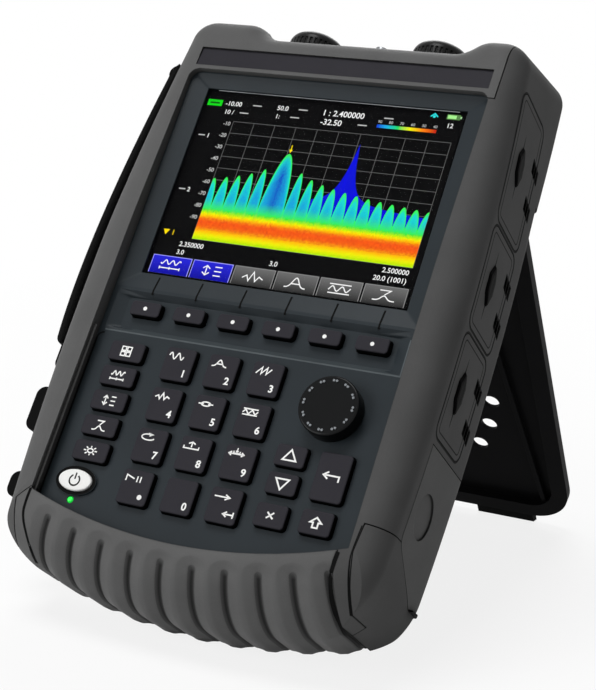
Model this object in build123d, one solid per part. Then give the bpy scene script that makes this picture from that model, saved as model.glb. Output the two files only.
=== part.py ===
from build123d import *
from math import asin, cos, degrees, hypot, radians, sin, sqrt
import os

# Handheld microwave analyzer standing on its kickstand.
# Every piece is drawn in the instrument's own axes, in millimetres: X to the right
# across the face, Y up the face, Z out of the face, with Z = 0 on the keypad panel and
# the origin at the centre of the display. The last step leans the whole instrument
# back and sets it on the ground.

# Stance
LEAN = 33.1                 # degrees that the face leans back from upright
STAND_OPEN = 69.9           # degrees between the open kickstand and the back

# Outline of the body
HALF_WIDTH = 92.3           # widest half width
SIDE_R = 1500.0             # the sides bow outwards on this radius
SIDE_MID_Y = -62.0          # height of the widest place
TOP_Y = 88.1                # top of the corner guards at their front
TOP_FRONT_Z = -6.7          # depth where that height is taken
TOP_RISE = 0.26             # the top climbs this much per millimetre of depth
VALLEY_Y = 80.5             # floor between the guards, where the connectors stand
VALLEY_LEFT = 49.8 - HALF_WIDTH
VALLEY_RIGHT = HALF_WIDTH - 37.8
GUARD_RUN = 1.19            # sideways run of each guard's inner slope, per height
GUARD_R = 13.2              # rounding of the guards, seen from the front
VALLEY_CORNER_R = 12.0
BOTTOM_LEFT_R = 22.0        # bottom corners, seen from the front
BOTTOM_RIGHT_R = 36.0
FRONT_Z = 7.0               # rails stand this far above the panel
FRONT_BREAK_Y = -30.0       # above this the rails slope back
FRONT_SLOPE = 3.7 / 85.0
FRONT_BREAK_R = 600.0
BACK_Z = -70.0              # limit of the depth
BACK_LOW_Z = -59.0          # lower back, which the folded stand covers
BACK_STEP_Y = 32.0
BACK_STEP_Z = -61.5         # above the step the back leans away from here
BACK_SLOPE = 0.105
FRONT_EDGE_R = 12.0
BACK_EDGE_R = 6.0

# Ribbed grip round the bottom
GRIP_X = -4.5               # centre of the arc between panel and grip
BOTTOM_Y = -200.5           # lowest point of the body
BOTTOM_R = 266.5            # arc of the bottom
BOTTOM_X = -1.0             # centre of the bottom's own arc
GRIP_Y = BOTTOM_Y + BOTTOM_R
PANEL_ARC_R = BOTTOM_R - 28.5   # lower edge of the panel
GRIP_FRONT_R = 31.0         # rounding from the front to the bottom
GRIP_BACK_R = 22.0          # rounding from the bottom to the back
GRIP_LEFT_X = 10.0 - HALF_WIDTH
RIB_COUNT = 10
RIB_FIRST = -14.9           # degrees from the middle to the first groove
RIB_PITCH = 3.5             # degrees between grooves
RIB_TOP_R = BOTTOM_R - 20.0     # where the grooves start on the front
RIB_CUTS = ((2.0, 0.0), (20.0, 18.8))   # each groove's rods: radius, height of the centre
RIB_BACK_TURN = 50.0        # degrees that the grooves run up the back
SEAM = 0.4                  # visible gap between neighbouring mouldings

# Inside of the mouldings
WALL = 3.0                  # rear case wall
CORE_SIDE = 9.0             # thickness of the side rails
CORE_TOP_Y = 68.0
CORE_BOTTOM_R = BOTTOM_R - 20.5
FIT = 0.15                  # clearance between pieces that slide together in assembly
PANEL_HALF_X = HALF_WIDTH - 16.6
PANEL_TOP_Y = 57.0
PANEL_CORNER_R = 5.0
PANEL_THICK = 5.5
RIGHT_SEAM_X = HALF_WIDTH - 13.7    # seam between the top bumper and the right rail

# Display
WINDOW_X = 2 * PANEL_HALF_X - 19.3
WINDOW_Y = 99.1
BEZEL_DEPTH = 2.0           # the bezel slopes down to the window by this much
BEZEL_BOTTOM_Y = -58.0
BEZEL_LIP = 0.8
LENS_THICK = 1.8
LENS_LAP = 3.0              # how far the lens reaches behind the bezel
LCD_THICK = 6.5
TICK_WIDTH = 0.7
TICK_DEPTH = 0.5
TICK_TOP_Y = -51.0
TICK_BOTTOM_Y = -60.5

# Soft key trough
TROUGH_TOP_Y = -59.5
TROUGH_BOTTOM_Y = -80.5
TROUGH_HALF_X = PANEL_HALF_X - 2.7
TROUGH_SLOPE_X = 6.0
TROUGH_SLOPE_Y = 3.0
TROUGH_DEPTH = 2.2

# Keys, all pressed straight into the face
KEY_TOP_Z = 3.0
KEY_FOOT_Z = -4.0
KEY_TRAVEL = 1.2
KEY_GAP = 0.4
KEY_CORNER_R = 1.6
KEY_EDGE_R = 0.7
SOFT_COUNT = 6
SOFT_PITCH = 0.296 * PANEL_HALF_X
SOFT_FIRST_X = 0.6 - 2.5 * SOFT_PITCH
SOFT_Y = -68.2
SOFT_W = 15.3
SOFT_H = 7.0
SOFT_TOP_Z = 1.4
FUNC_COUNT = 5
FUNC_LEFT = 10.9 - PANEL_HALF_X
FUNC_BOTTOM = -95.0
FUNC_PITCH = 12.03
FUNC_W = 17.4
FUNC_H = 9.2
NUM_COLS = 3
NUM_ROWS = 4
NUM_LEFT = -0.4795 * PANEL_HALF_X
NUM_BOTTOM = -100.2
NUM_PITCH_X = 0.2861 * PANEL_HALF_X
NUM_PITCH_Y = 19.39
NUM_W = 14.7
NUM_H = 15.6
RIGHT_A = 0.3937 * PANEL_HALF_X     # left edges of the two columns beside the knob
RIGHT_B = 0.6618 * PANEL_HALF_X
RIGHT_KEYS = {              # left edge, width, lower and upper edge
    "key_up": (RIGHT_A, 14.1, -128.6, -119.0),
    "key_down": (RIGHT_A, 14.1, -141.1, -131.6),
    "key_esc": (RIGHT_A - 0.6, 14.3, -155.8, -145.4),
    "key_back": (RIGHT_B, 14.7, -140.4, -119.0),
    "key_shift": (RIGHT_B - 0.3, 14.4, -155.0, -144.4),
}
POWER_X = 16.5 - PANEL_HALF_X
POWER_Y = -152.4
POWER_W = 16.5
POWER_H = 9.8
POWER_TOP_Z = 2.2
POWER_RING = 1.9
POWER_RING_Z = 1.1
LED_X = POWER_X - 0.1
LED_Y = -161.0
LED_R = 1.5
LED_TOP_Z = 0.5

# Tuning knob and its encoder
KNOB_X = 0.6446 * PANEL_HALF_X
KNOB_Y = -100.8
KNOB_R = 13.5
KNOB_LOW_Z = 0.6
KNOB_TOP_Z = 8.2
KNOB_EDGE_R = 0.9
KNOB_STEM_R = 3.0
KNOB_STEM_Z = -9.0
STUD_COUNT = 12
STUD_RING_R = 11.2
STUD_R = 0.55
STUD_HEIGHT = 0.4
STUD_SPREAD = 7.0           # degrees between the two studs of a pair
RUNNING = 0.05              # radial clearance of a turning fit
ENCODER_BUSH_R = 4.5
ENCODER_BODY_R = 9.5
ENCODER_BODY_Z = -15.0

# Boards and battery
MAT_THICK = 1.5
BOARD_THICK = 1.6
BOARD_TOP_Y = -61.0
MAIN_BOARD_Z = -31.0
MAIN_BOARD_HALF_X = HALF_WIDTH - 26.3
MAIN_BOARD_TOP_Y = 52.0
MAIN_BOARD_BOTTOM_Y = -112.0
POST_R = 3.5
POST_INSET = 7.0
SHIELD_LEFT = -52.0
SHIELD_W = 46.0
SHIELD_PITCH = 58.0
SHIELD_BOTTOM = -60.0
SHIELD_H = 96.0
SHIELD_THICK = 9.0
BATTERY_LEFT = -42.0
BATTERY_BOTTOM = -156.0
BATTERY_H = 40.0
BATTERY_THICK = 28.0
BATTERY_EDGE_R = 2.0

# Nameplate strip over the display
PLATE_HALF_X = HALF_WIDTH - 18.3
PLATE_LOW_Y = 59.3
PLATE_HIGH_Y = 69.0
PLATE_THICK = 1.2
PLATE_SUNK = 0.3
PLATE_TILT = 0.06           # the strip leans back a little more than the rails

# Connectors on the top
PORT_X = 32.5               # each large connector from their middle
PORT_MID_X = 1.2
PORT_Z = -28.0
PORT_R = 7.95
PORT_TOP_Y = 90.2
PORT_NUT_R = 11.0
PORT_NUT_H = 2.6
PORT_HOLE_GAP = 0.4
SCOOP_R = 25.0
CAP_R = 13.9
CAP_TOP_Y = 95.2
CAP_DOME_R = 5.5
CAP_GAP = 0.35
CAP_FLUTES = 36
CAP_FLUTE_R = 0.6
AUX_X = 1.5
AUX_Z = -30.0
AUX_NUT_R = 4.6
AUX_NUT_Y = 87.0
AUX_R = 3.175
AUX_TOP_Y = 94.8

# Doors on the right side
DOORS = {"port_door_upper": (2.2, 66.0), "port_door_middle": (-49.0, -0.4),
         "port_door_lower": (-100.0, -52.0)}
DOOR_FRONT_Z = -7.5
DOOR_BACK_Z = -43.0
DOOR_CORNER_R = 5.0
DOOR_THICK = 4.0
DOOR_GAP = 0.4
HEX_LENGTH = 16.0
HEX_WIDTH = 8.0
HEX_Z = -20.5
HEX_DEPTH = 1.4
TAIL_LENGTH = 34.0
TAIL_WIDTH = 1.8
NOTCH_W = 7.0
NOTCH_FRONT_Z = -37.0
NOTCH_BACK_Z = -47.0
NOTCH_DEPTH = 2.4
NOTCH_SPREAD = 9.6          # each notch's centre from the door's middle
SOCKET_DEPTH = 12.0
SOCKET_OUT = 1.5
SOCKET_RECESS = 1.6
SOCKET_RIM = 1.2
SOCKET_Z = -24.0
SOCKETS = ((50.0, 14.0, 7.0), (24.0, 14.0, 7.0), (-24.0, 16.0, 13.5),
           (-66.0, 9.0, 9.0), (-86.0, 14.0, 7.0))

# Battery door: the lower right corner and the flat panel above it
PANEL_LOW_Y = GRIP_Y - sqrt(PANEL_ARC_R ** 2 - (PANEL_HALF_X - GRIP_X) ** 2)
CORNER_FRONT = (            # front edge of the corner, from its top to the bottom
    (HALF_WIDTH - 12.8, PANEL_LOW_Y + 11.0),
    (HALF_WIDTH - 14.2, PANEL_LOW_Y - 1.2),
    (HALF_WIDTH - 11.8, PANEL_LOW_Y - 24.0),
)
GRIP_RIGHT = (              # seam between the grip and the strip beside the corner
    (HALF_WIDTH - 21.1, PANEL_LOW_Y - 3.0),
    (HALF_WIDTH - 21.1, PANEL_LOW_Y - 11.0),
    (HALF_WIDTH - 16.8, PANEL_LOW_Y - 29.0),
)
STRIP_Z = -24.0             # back of that strip
PANEL_DOOR_TOP_Y = -104.0
PANEL_DOOR_FRONT_Z = -9.5
PANEL_DOOR_TURN_Y = PANEL_LOW_Y + 11.0
PANEL_DOOR_LOW_Y = PANEL_LOW_Y - 8.0
PANEL_DOOR_LOW_Z = -44.0
PANEL_DOOR_R = 7.0
THUMB_Y = -131.0
THUMB_Z = -25.0
THUMB_R = 10.0
THUMB_DEPTH = 0.8

# Kickstand, drawn folded flat and then opened about its pin
STAND_HALF_X = HALF_WIDTH - 6.3
STAND_THICK = 6.6
STAND_PIN_Y = 23.0
STAND_LENGTH = 212.0
STAND_CORNER_R = 24.0
STAND_SKIN = 2.2
STAND_RIM = 9.0
STAND_TOP_GAP = 5.0         # plate starts this far below the pin
STAND_CLEAR = 0.4
STAND_HOLE_R = 4.4
STAND_HOLES = ((50.0, 126.5), (46.2, 145.0), (38.5, 162.2))
STAND_RIB_W = 2.6
STAND_RIB_TOP_X = 52.0
STAND_RIB_LOW_X = 70.0
BARREL_HALF_X = 48.0
PIN_R = 2.0
PIN_LENGTH = 16.0
EAR_GAP = 0.5
EAR_W = 8.0
FOOT_INNER_X = 30.0
FOOT_OUTER_X = 63.0
FOOT_LAP = 3.0
FOOT_REACH = 30.0           # rough length before the sole is cut at the ground

# Hand strap on the left side
STRAP_FRONT_Z = -20.0
STRAP_WIDTH = 34.0
STRAP_THICK = 4.0
STRAP_TOP = (-HALF_WIDTH - 7.5, 62.0)
STRAP_MID = (-HALF_WIDTH - 15.3, -18.0)
STRAP_LOW = (-HALF_WIDTH - 14.7, -80.0)
ANCHOR_GAP = 0.3
LUG_R = 4.5
STRAP_LUGS = (              # outermost X, lower and upper Y, depth of each lug
    (-HALF_WIDTH - 10.0, STRAP_TOP[1] + ANCHOR_GAP, 71.0, 34.0),
    (-HALF_WIDTH - 13.2, -97.0, STRAP_LOW[1] - ANCHOR_GAP, 34.0),
    (-HALF_WIDTH - 16.7, -128.0, -106.0, 26.0),
    (-HALF_WIDTH - 13.7, -160.5, -148.0, 20.0),
)

# Screws in the back
SCREWS = ((-62.0, 50.0), (62.0, 50.0), (-58.0, -166.0), (58.0, -166.0))
SCREW_R = 1.5
SCREW_LENGTH = 7.0
SCREW_HEAD_R = 2.9
SCREW_HEAD_H = 1.8
SCREW_SUNK = 0.5

FAR = 400.0                 # larger than the instrument, for cutting tools

parts = {}


def box(x0, x1, y0, y1, z0, z1):
    """A box between two corners."""
    middle = Pos((x0 + x1) / 2, (y0 + y1) / 2, (z0 + z1) / 2)
    return middle * Box(x1 - x0, y1 - y0, z1 - z0)


def rod_x(r, x0, x1, y, z):
    """A cylinder along X."""
    return Pos((x0 + x1) / 2, y, z) * Rot(0, 90, 0) * Cylinder(r, x1 - x0)


def rod_y(r, y0, y1, x, z):
    """A cylinder along Y."""
    return Pos(x, (y0 + y1) / 2, z) * Rot(90, 0, 0) * Cylinder(r, y1 - y0)


def rod_z(r, z0, z1, x, y):
    """A cylinder along Z."""
    return Pos(x, y, (z0 + z1) / 2) * Cylinder(r, z1 - z0)


def plate(sketch, z0, z1):
    """A sketch drawn on the face, made into a slab between two depths."""
    return extrude(Pos(0, 0, z0) * sketch, amount=z1 - z0, dir=(0, 0, 1))


def side_plate(sketch, x0, x1):
    """A sketch of (Y, Z) points, made into a slab across the body."""
    return extrude(Plane.YZ.offset(x0) * sketch, amount=x1 - x0, dir=(1, 0, 0))


def oblong(x0, x1, y0, y1, r):
    """A rounded rectangle between two corners."""
    middle = Pos((x0 + x1) / 2, (y0 + y1) / 2)
    return middle * RectangleRounded(x1 - x0, y1 - y0, r)


def polygon(*points):
    """A polygon through points as they are given."""
    return Polygon(*points, align=None)


def pillow(inset, mid_y=SIDE_MID_Y):
    """Plan of the bowed sides, moved in by an inset, with no ends."""
    reach = HALF_WIDTH - SIDE_R
    right = Pos(reach, mid_y) * Circle(SIDE_R - inset)
    left = Pos(-reach, mid_y) * Circle(SIDE_R - inset)
    return right & left


def bowed_plan(inset, top_y, bottom_x, bottom_r):
    """Plan with bowed sides, a straight top and the arc of the bottom."""
    arc = Pos(bottom_x, GRIP_Y) * Circle(bottom_r)
    below = Pos(0, top_y - FAR / 2) * Rectangle(FAR, FAR)
    return pillow(inset) & arc & below


def side_x(y, inset=0.0):
    """Half width of the body at a height."""
    r = SIDE_R - inset
    return HALF_WIDTH - SIDE_R + sqrt(r * r - (y - SIDE_MID_Y) ** 2)


def upper_join():
    """Height where the upper half's bowed sides begin."""
    return SIDE_MID_Y + TOP_RISE * (FRONT_Z - TOP_FRONT_Z) + 0.5


def wall_x(y, z):
    """Half width of the upper body at a height and depth."""
    up = max(0.0, y - TOP_RISE * (TOP_FRONT_Z - z) - upper_join())
    return HALF_WIDTH - SIDE_R + sqrt(SIDE_R * SIDE_R - up * up)


def upper_outline():
    """Front view of the upper body, with the valley between the two corner guards.

    The sides run straight at the widest place, so that this half meets the lower half.
    """
    join = upper_join()
    tail = 40.0
    plan = pillow(0, join) & Pos(0, (join + TOP_Y) / 2) * Rectangle(FAR, TOP_Y - join)
    plan = plan + Pos(0, join - tail / 2) * Rectangle(2 * HALF_WIDTH, tail)
    plan = fillet(plan.vertices().sort_by(Axis.Y)[-2:], GUARD_R)
    rise = TOP_Y - VALLEY_Y
    over = 2.0 * rise
    valley = polygon(
        (VALLEY_LEFT, VALLEY_Y),
        (VALLEY_RIGHT, VALLEY_Y),
        (VALLEY_RIGHT + GUARD_RUN * over, VALLEY_Y + over),
        (VALLEY_LEFT - GUARD_RUN * over, VALLEY_Y + over),
    )
    plan = plan - valley
    slope_tops = (VALLEY_LEFT - GUARD_RUN * rise, VALLEY_RIGHT + GUARD_RUN * rise)
    tops = [v for v in plan.vertices() if abs(v.Y - TOP_Y) < 0.01]
    tops = [v for v in tops if min(abs(v.X - x) for x in slope_tops) < 0.1]
    plan = fillet(tops, GUARD_R)
    floor = [v for v in plan.vertices() if abs(v.Y - VALLEY_Y) < 0.01]
    return fillet(floor, VALLEY_CORNER_R)


def lower_outline():
    """Front view of the lower body, with its rounded bottom corners."""
    plan = bowed_plan(0, 0, BOTTOM_X, BOTTOM_R)
    left = plan.vertices().sort_by(Axis.Y)[:2].sort_by(Axis.X)[0]
    plan = fillet(left, BOTTOM_LEFT_R)
    right = plan.vertices().filter_by(lambda v: v.X > 0).sort_by(Axis.Y)[0]
    return fillet(right, BOTTOM_RIGHT_R)


def front_profile():
    """Side view of the body's front, which slopes back towards the top."""
    far = FAR / 2
    profile = polygon(
        (-FAR, BACK_Z),
        (-FAR, FRONT_Z),
        (FRONT_BREAK_Y, FRONT_Z),
        (far, plate_surface_z(far)),
        (far, BACK_Z),
    )
    bend = [v for v in profile.vertices() if abs(v.X - FRONT_BREAK_Y) < 0.01]
    return fillet(bend, FRONT_BREAK_R)


def rim_edges(faces):
    """Edges that bound a set of faces, without those that the faces share."""
    edges = [e for f in faces for e in f.edges()]
    return [e for e in edges if sum(e.is_same(o) for o in edges) == 1]


def rounded(solid, facing, r, skip):
    """Round the rim of the faces that look along Z, but not edges at some heights."""
    faces = [f for f in solid.faces() if f.normal_at().Z * facing > 0.9]
    edges = [e for e in rim_edges(faces) if all(abs(e.center().Y - y) > 0.5 for y in skip)]
    return fillet(edges, r)


def back_z(y):
    """Depth of the back at a height."""
    return BACK_LOW_Z if y < BACK_STEP_Y else BACK_STEP_Z - BACK_SLOPE * (y - BACK_STEP_Y)


def back_side(inset):
    """Side view of all that lies in front of the leaning upper back, moved in by an inset."""
    low = BACK_STEP_Y + inset
    high = FAR / 2
    return polygon((low, back_z(low) + inset), (high, back_z(high) + inset), (high, FAR),
                   (low, FAR))


def body_blank():
    """The whole outer form as one block, which the mouldings are cut from.

    The upper half is drawn along a line that climbs towards the back, so that the
    corner guards rise behind the connectors. The halves meet where the sides are widest.
    """
    split = SIDE_MID_Y
    front = side_plate(front_profile(), -FAR / 2, FAR / 2)
    z1 = FRONT_Z + 5.0
    start = Pos(0, TOP_RISE * (TOP_FRONT_Z - z1), z1) * upper_outline()
    length = (z1 - BACK_Z) * hypot(1.0, TOP_RISE)
    upper = extrude(start, amount=length, dir=(0, TOP_RISE, -1)) & front
    upper = upper & box(-FAR, FAR, split, FAR, -FAR, FAR)
    upper = rounded(upper, 1, FRONT_EDGE_R, (split,))
    middle = upper & box(-FAR, FAR, split, BACK_STEP_Y, BACK_LOW_Z, FAR)
    middle = rounded(middle, -1, BACK_EDGE_R, (split, BACK_STEP_Y))
    upper = upper & side_plate(back_side(0), -FAR / 2, FAR / 2)
    upper = rounded(upper, -1, BACK_EDGE_R, (BACK_STEP_Y,))
    lower = plate(lower_outline(), BACK_LOW_Z, z1) & front
    lower = lower & box(-FAR, FAR, -FAR, split, -FAR, FAR)
    lower = rounded(lower, 1, FRONT_EDGE_R, (split,))
    lower = rounded(lower, -1, BACK_EDGE_R, (split,))
    return upper + middle + lower - bottom_waste() - connector_bay()


def connector_bay():
    """The long rounded bay with a level floor that the connectors stand in."""
    slot = SlotCenterToCenter(2 * PORT_X, 2 * SCOOP_R)
    floor = Pos(PORT_MID_X, VALLEY_Y, PORT_Z) * Rot(-90, 0, 0) * slot
    return extrude(floor, amount=FAR, dir=(0, 1, 0))


def bottom_waste():
    """What lies outside the rounded bottom, turned about the grip's arc."""
    front_rho = BOTTOM_R - GRIP_FRONT_R
    front_mid = FRONT_Z - GRIP_FRONT_R
    back_rho = BOTTOM_R - GRIP_BACK_R
    back_mid = BACK_LOW_Z + GRIP_BACK_R
    h = sqrt(0.5)
    arc_front = ThreePointArc(
        (front_rho, FRONT_Z),
        (front_rho + GRIP_FRONT_R * h, front_mid + GRIP_FRONT_R * h),
        (BOTTOM_R, front_mid),
    )
    arc_back = ThreePointArc(
        (BOTTOM_R, back_mid),
        (back_rho + GRIP_BACK_R * h, back_mid - GRIP_BACK_R * h),
        (back_rho, BACK_LOW_Z),
    )
    far_rho = BOTTOM_R + 60.0
    outside = Polyline(
        (back_rho, BACK_LOW_Z),
        (back_rho, BACK_Z - 10.0),
        (far_rho, BACK_Z - 10.0),
        (far_rho, FRONT_Z + 10.0),
        (front_rho, FRONT_Z + 10.0),
        (front_rho, FRONT_Z),
    )
    flat = Line((BOTTOM_R, front_mid), (BOTTOM_R, back_mid))
    profile = make_face([arc_front, flat, arc_back, outside])
    return turned(profile)


def turned(profile):
    """Turn a (radius, Z) profile about the centre of the bottom's arc."""
    half_turn = 35.0
    axis = Axis((BOTTOM_X, GRIP_Y, 0), (0, 0, 1))
    plane = Plane(origin=(BOTTOM_X, GRIP_Y, 0), x_dir=(0, -1, 0), z_dir=(-1, 0, 0))
    placed = (plane * profile).rotate(axis, -half_turn)
    return revolve(placed, axis, revolution_arc=2 * half_turn)


def core_plan(inset):
    """Plan of the space inside the rails, for the rear case and the front panel."""
    return bowed_plan(CORE_SIDE + inset, CORE_TOP_Y - inset, GRIP_X, CORE_BOTTOM_R - inset)


def panel_plan():
    """The face that stays open between the rails."""
    arc = Pos(GRIP_X, GRIP_Y) * Circle(PANEL_ARC_R)
    return oblong(-PANEL_HALF_X, PANEL_HALF_X, -FAR, PANEL_TOP_Y, PANEL_CORNER_R) & arc


def grip_plan(gap=0.0):
    """Plan of the grip, grown by a gap on its seams."""
    (top_x, top_y), (mid_x, mid_y), (low_x, low_y) = GRIP_RIGHT
    return polygon(
        (-PANEL_HALF_X - gap, top_y + 1.0),
        (GRIP_LEFT_X - gap, top_y - 5.0),
        (GRIP_LEFT_X - gap, -FAR),
        (low_x + gap, -FAR),
        (low_x + gap, low_y),
        (mid_x + gap, mid_y),
        (top_x + gap, top_y),
        (top_x + gap, top_y + 4.0),
        (-PANEL_HALF_X + 20.0, top_y + 4.0),
    )


def corner_block(gap=0.0):
    """Block of the battery door's corner, which passes behind the strip beside the grip."""
    (top_x, top_y), (mid_x, mid_y), (low_x, low_y) = CORNER_FRONT
    front = polygon(
        (top_x - gap, top_y + gap),
        (mid_x - gap, mid_y),
        (low_x - gap, low_y),
        (low_x - gap, -FAR),
        (FAR, -FAR),
        (FAR, top_y + gap),
    )
    reach = GRIP_RIGHT[0][0]
    back = front + Pos((reach + FAR) / 2, mid_y - FAR / 2) * Rectangle(FAR - reach, FAR)
    return plate(front, STRIP_Z, FAR) + plate(back, -FAR, STRIP_Z + gap)


def panel_door_side(gap=0.0):
    """Side view of the flat panel of the battery door."""
    outline = polygon(
        (PANEL_DOOR_TOP_Y + gap, PANEL_DOOR_FRONT_Z + gap),
        (PANEL_DOOR_TURN_Y, PANEL_DOOR_FRONT_Z + gap),
        (PANEL_DOOR_LOW_Y - gap, PANEL_DOOR_LOW_Z),
        (PANEL_DOOR_LOW_Y - gap, BACK_LOW_Z - 2.0),
        (PANEL_DOOR_TOP_Y + gap, BACK_LOW_Z - 2.0),
    )
    turn = [v for v in outline.vertices() if v.Y > PANEL_DOOR_LOW_Z - 1.0]
    turn = [v for v in turn if v.X < PANEL_DOOR_TURN_Y + 1.0]
    return fillet(turn, PANEL_DOOR_R)


def door_side(low, high, gap=0.0):
    """Side view of a port door."""
    return oblong(low - gap, high + gap, DOOR_BACK_Z - gap, DOOR_FRONT_Z + gap,
                  DOOR_CORNER_R + gap)


def side_skin(thick):
    """Everything outside the bowed right side, moved in by a thickness."""
    inner = Pos(HALF_WIDTH - SIDE_R, SIDE_MID_Y) * Circle(SIDE_R - thick)
    return box(0, FAR, -FAR, FAR, -FAR, FAR) - plate(inner, -FAR, FAR)


def notch_tool(y):
    """Cutter for one finger notch at a door's rear edge."""
    half = NOTCH_W / 2
    lean = 1.2
    outline = polygon(
        (y - half - lean, NOTCH_BACK_Z),
        (y + half - lean, NOTCH_BACK_Z),
        (y + half + lean, NOTCH_FRONT_Z),
        (y - half + lean, NOTCH_FRONT_Z),
    )
    return side_plate(outline, 0, FAR) & side_skin(NOTCH_DEPTH)


def door_notches(low, high):
    """Both finger notches of a door."""
    middle = (low + high) / 2
    return notch_tool(middle - NOTCH_SPREAD) + notch_tool(middle + NOTCH_SPREAD)


def pull_tool(low, high):
    """Cutter for the long pull slot in the middle of a door."""
    y = (low + high) / 2
    half = HEX_LENGTH / 2
    flat = half - HEX_WIDTH / 3
    wide = HEX_WIDTH / 2
    hexagon = polygon(
        (y - half, HEX_Z),
        (y - flat, HEX_Z - wide),
        (y + flat, HEX_Z - wide),
        (y + half, HEX_Z),
        (y + flat, HEX_Z + wide),
        (y - flat, HEX_Z + wide),
    )
    tail = polygon(
        (y - TAIL_LENGTH / 2, HEX_Z),
        (y, HEX_Z - TAIL_WIDTH / 2),
        (y + TAIL_LENGTH / 2, HEX_Z),
        (y, HEX_Z + TAIL_WIDTH / 2),
    )
    return side_plate(hexagon + tail, 0, FAR) & side_skin(HEX_DEPTH)


def connector_holes(r):
    """Holes for the two large connectors, through the top."""
    return [rod_y(r, CORE_TOP_Y - 20.0, TOP_Y, PORT_MID_X + s * PORT_X, PORT_Z)
            for s in (-1, 1)]


def plate_surface_z(y):
    """Height of the rails' sloping face at a height."""
    return FRONT_Z - (y - FRONT_BREAK_Y) * FRONT_SLOPE


def nameplate_slab(grow, depth):
    """The nameplate, or with some growth the pocket that holds it."""
    slope = FRONT_SLOPE + PLATE_TILT
    low = plate_surface_z(PLATE_LOW_Y) - PLATE_SUNK + slope * grow
    high = low - slope * (PLATE_HIGH_Y - PLATE_LOW_Y + 2 * grow)
    profile = polygon(
        (PLATE_LOW_Y - grow, low),
        (PLATE_HIGH_Y + grow, high),
        (PLATE_HIGH_Y + grow, high - depth),
        (PLATE_LOW_Y - grow, low - depth),
    )
    return side_plate(profile, -PLATE_HALF_X - grow, PLATE_HALF_X + grow)


def make_mouldings(blank):
    """Soft outer mouldings: top and left, right rail, bottom grip, battery door."""
    shell = blank - plate(core_plan(0), -FAR, 0) - plate(panel_plan(), 0, FAR)
    for hole in connector_holes(PORT_R + PORT_HOLE_GAP):
        shell = shell - hole
    shell = shell - rod_y(AUX_R + PORT_HOLE_GAP, 0, TOP_Y, AUX_X, AUX_Z)
    pocket = nameplate_slab(FIT, PLATE_THICK)
    shell = shell - pocket - extrude_up(pocket)

    grip = shell & plate(grip_plan(), -FAR, FAR)
    for groove in rib_grooves():
        grip = grip - groove
    parts["bottom_grip"] = grip

    panel_block = side_plate(panel_door_side(), 0, FAR)
    panel_hole = side_plate(panel_door_side(SEAM), 0, FAR)
    panel = (shell & panel_block) & box(0, FAR, -FAR, PANEL_DOOR_TOP_Y, -FAR, FAR)
    thumb = rod_x(THUMB_R, 0, FAR, THUMB_Y, THUMB_Z) & side_skin(THUMB_DEPTH)
    parts["battery_door_panel"] = panel - thumb
    grip_hole = plate(grip_plan(SEAM), -FAR, FAR)
    parts["battery_door_corner"] = (shell & corner_block()) - panel_hole - grip_hole

    rest = shell - grip_hole - corner_block(SEAM) - panel_hole
    right_plan = polygon(
        (0, PANEL_TOP_Y - 3.0),
        (RIGHT_SEAM_X, PANEL_TOP_Y - 3.0),
        (RIGHT_SEAM_X, FAR),
        (FAR, FAR),
        (FAR, -FAR),
        (0, -FAR),
    )
    rail = rest & plate(right_plan, -FAR, FAR)
    for low, high in DOORS.values():
        rail = rail - side_plate(door_side(low, high, DOOR_GAP), 0, FAR)
        rail = rail - door_notches(low, high)
    parts["right_rail"] = rail
    seam_plan = offset(right_plan, SEAM, kind=Kind.INTERSECTION)
    parts["overmold"] = rest - plate(seam_plan, -FAR, FAR)
    for name, (low, high) in DOORS.items():
        door = (blank & side_plate(door_side(low, high), 0, FAR)) & side_skin(DOOR_THICK)
        parts[name] = door - pull_tool(low, high) - door_notches(low, high)
    parts["nameplate"] = nameplate_slab(0, PLATE_THICK)


def extrude_up(slab):
    """Everything in front of a slab's outline."""
    low = slab.bounding_box().min
    high = slab.bounding_box().max
    return box(low.X, high.X, low.Y, high.Y, (low.Z + high.Z) / 2, FAR)


def bent_rod(r, y, z, bend_r, turn):
    """A half of a ring of round rod that starts straight below a centre, with a round end.

    A positive turn goes towards the front and a negative one towards the back.
    """
    way = -1 if turn > 0 else 1
    start = Pos(BOTTOM_X, y - bend_r, z) * Circle(r)
    axis = Axis((BOTTOM_X, y, z), (way, 0, 0))
    ring = revolve(start, axis, revolution_arc=abs(turn))
    end_y = y - bend_r * cos(radians(turn))
    end_z = z + bend_r * sin(radians(turn))
    return ring + Pos(BOTTOM_X, end_y, end_z) * Sphere(r)


def rib_rod(r, out):
    """A round rod that follows the grip from the front round to the back."""
    front_rho = BOTTOM_R - GRIP_FRONT_R
    front_z = FRONT_Z - GRIP_FRONT_R
    back_rho = BOTTOM_R - GRIP_BACK_R
    low_z = BACK_LOW_Z + GRIP_BACK_R
    front_turn = 90.0 - degrees(asin((RIB_TOP_R - front_rho) / GRIP_FRONT_R))
    front = bent_rod(r, GRIP_Y - front_rho, front_z, GRIP_FRONT_R + out, front_turn)
    back = bent_rod(r, GRIP_Y - back_rho, low_z, GRIP_BACK_R + out, -RIB_BACK_TURN)
    return front + rod_z(r, low_z, front_z, BOTTOM_X, GRIP_Y - BOTTOM_R - out) + back


def rib_grooves():
    """Grooves that fan out over the grip, each a narrow rod in a wide and shallow one."""
    axis = Axis((BOTTOM_X, GRIP_Y, 0), (0, 0, 1))
    rods = [rib_rod(r, out) for r, out in RIB_CUTS]
    turns = [RIB_FIRST + i * RIB_PITCH for i in range(RIB_COUNT)]
    return [rod.rotate(axis, turn) for turn in turns for rod in rods]


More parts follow.
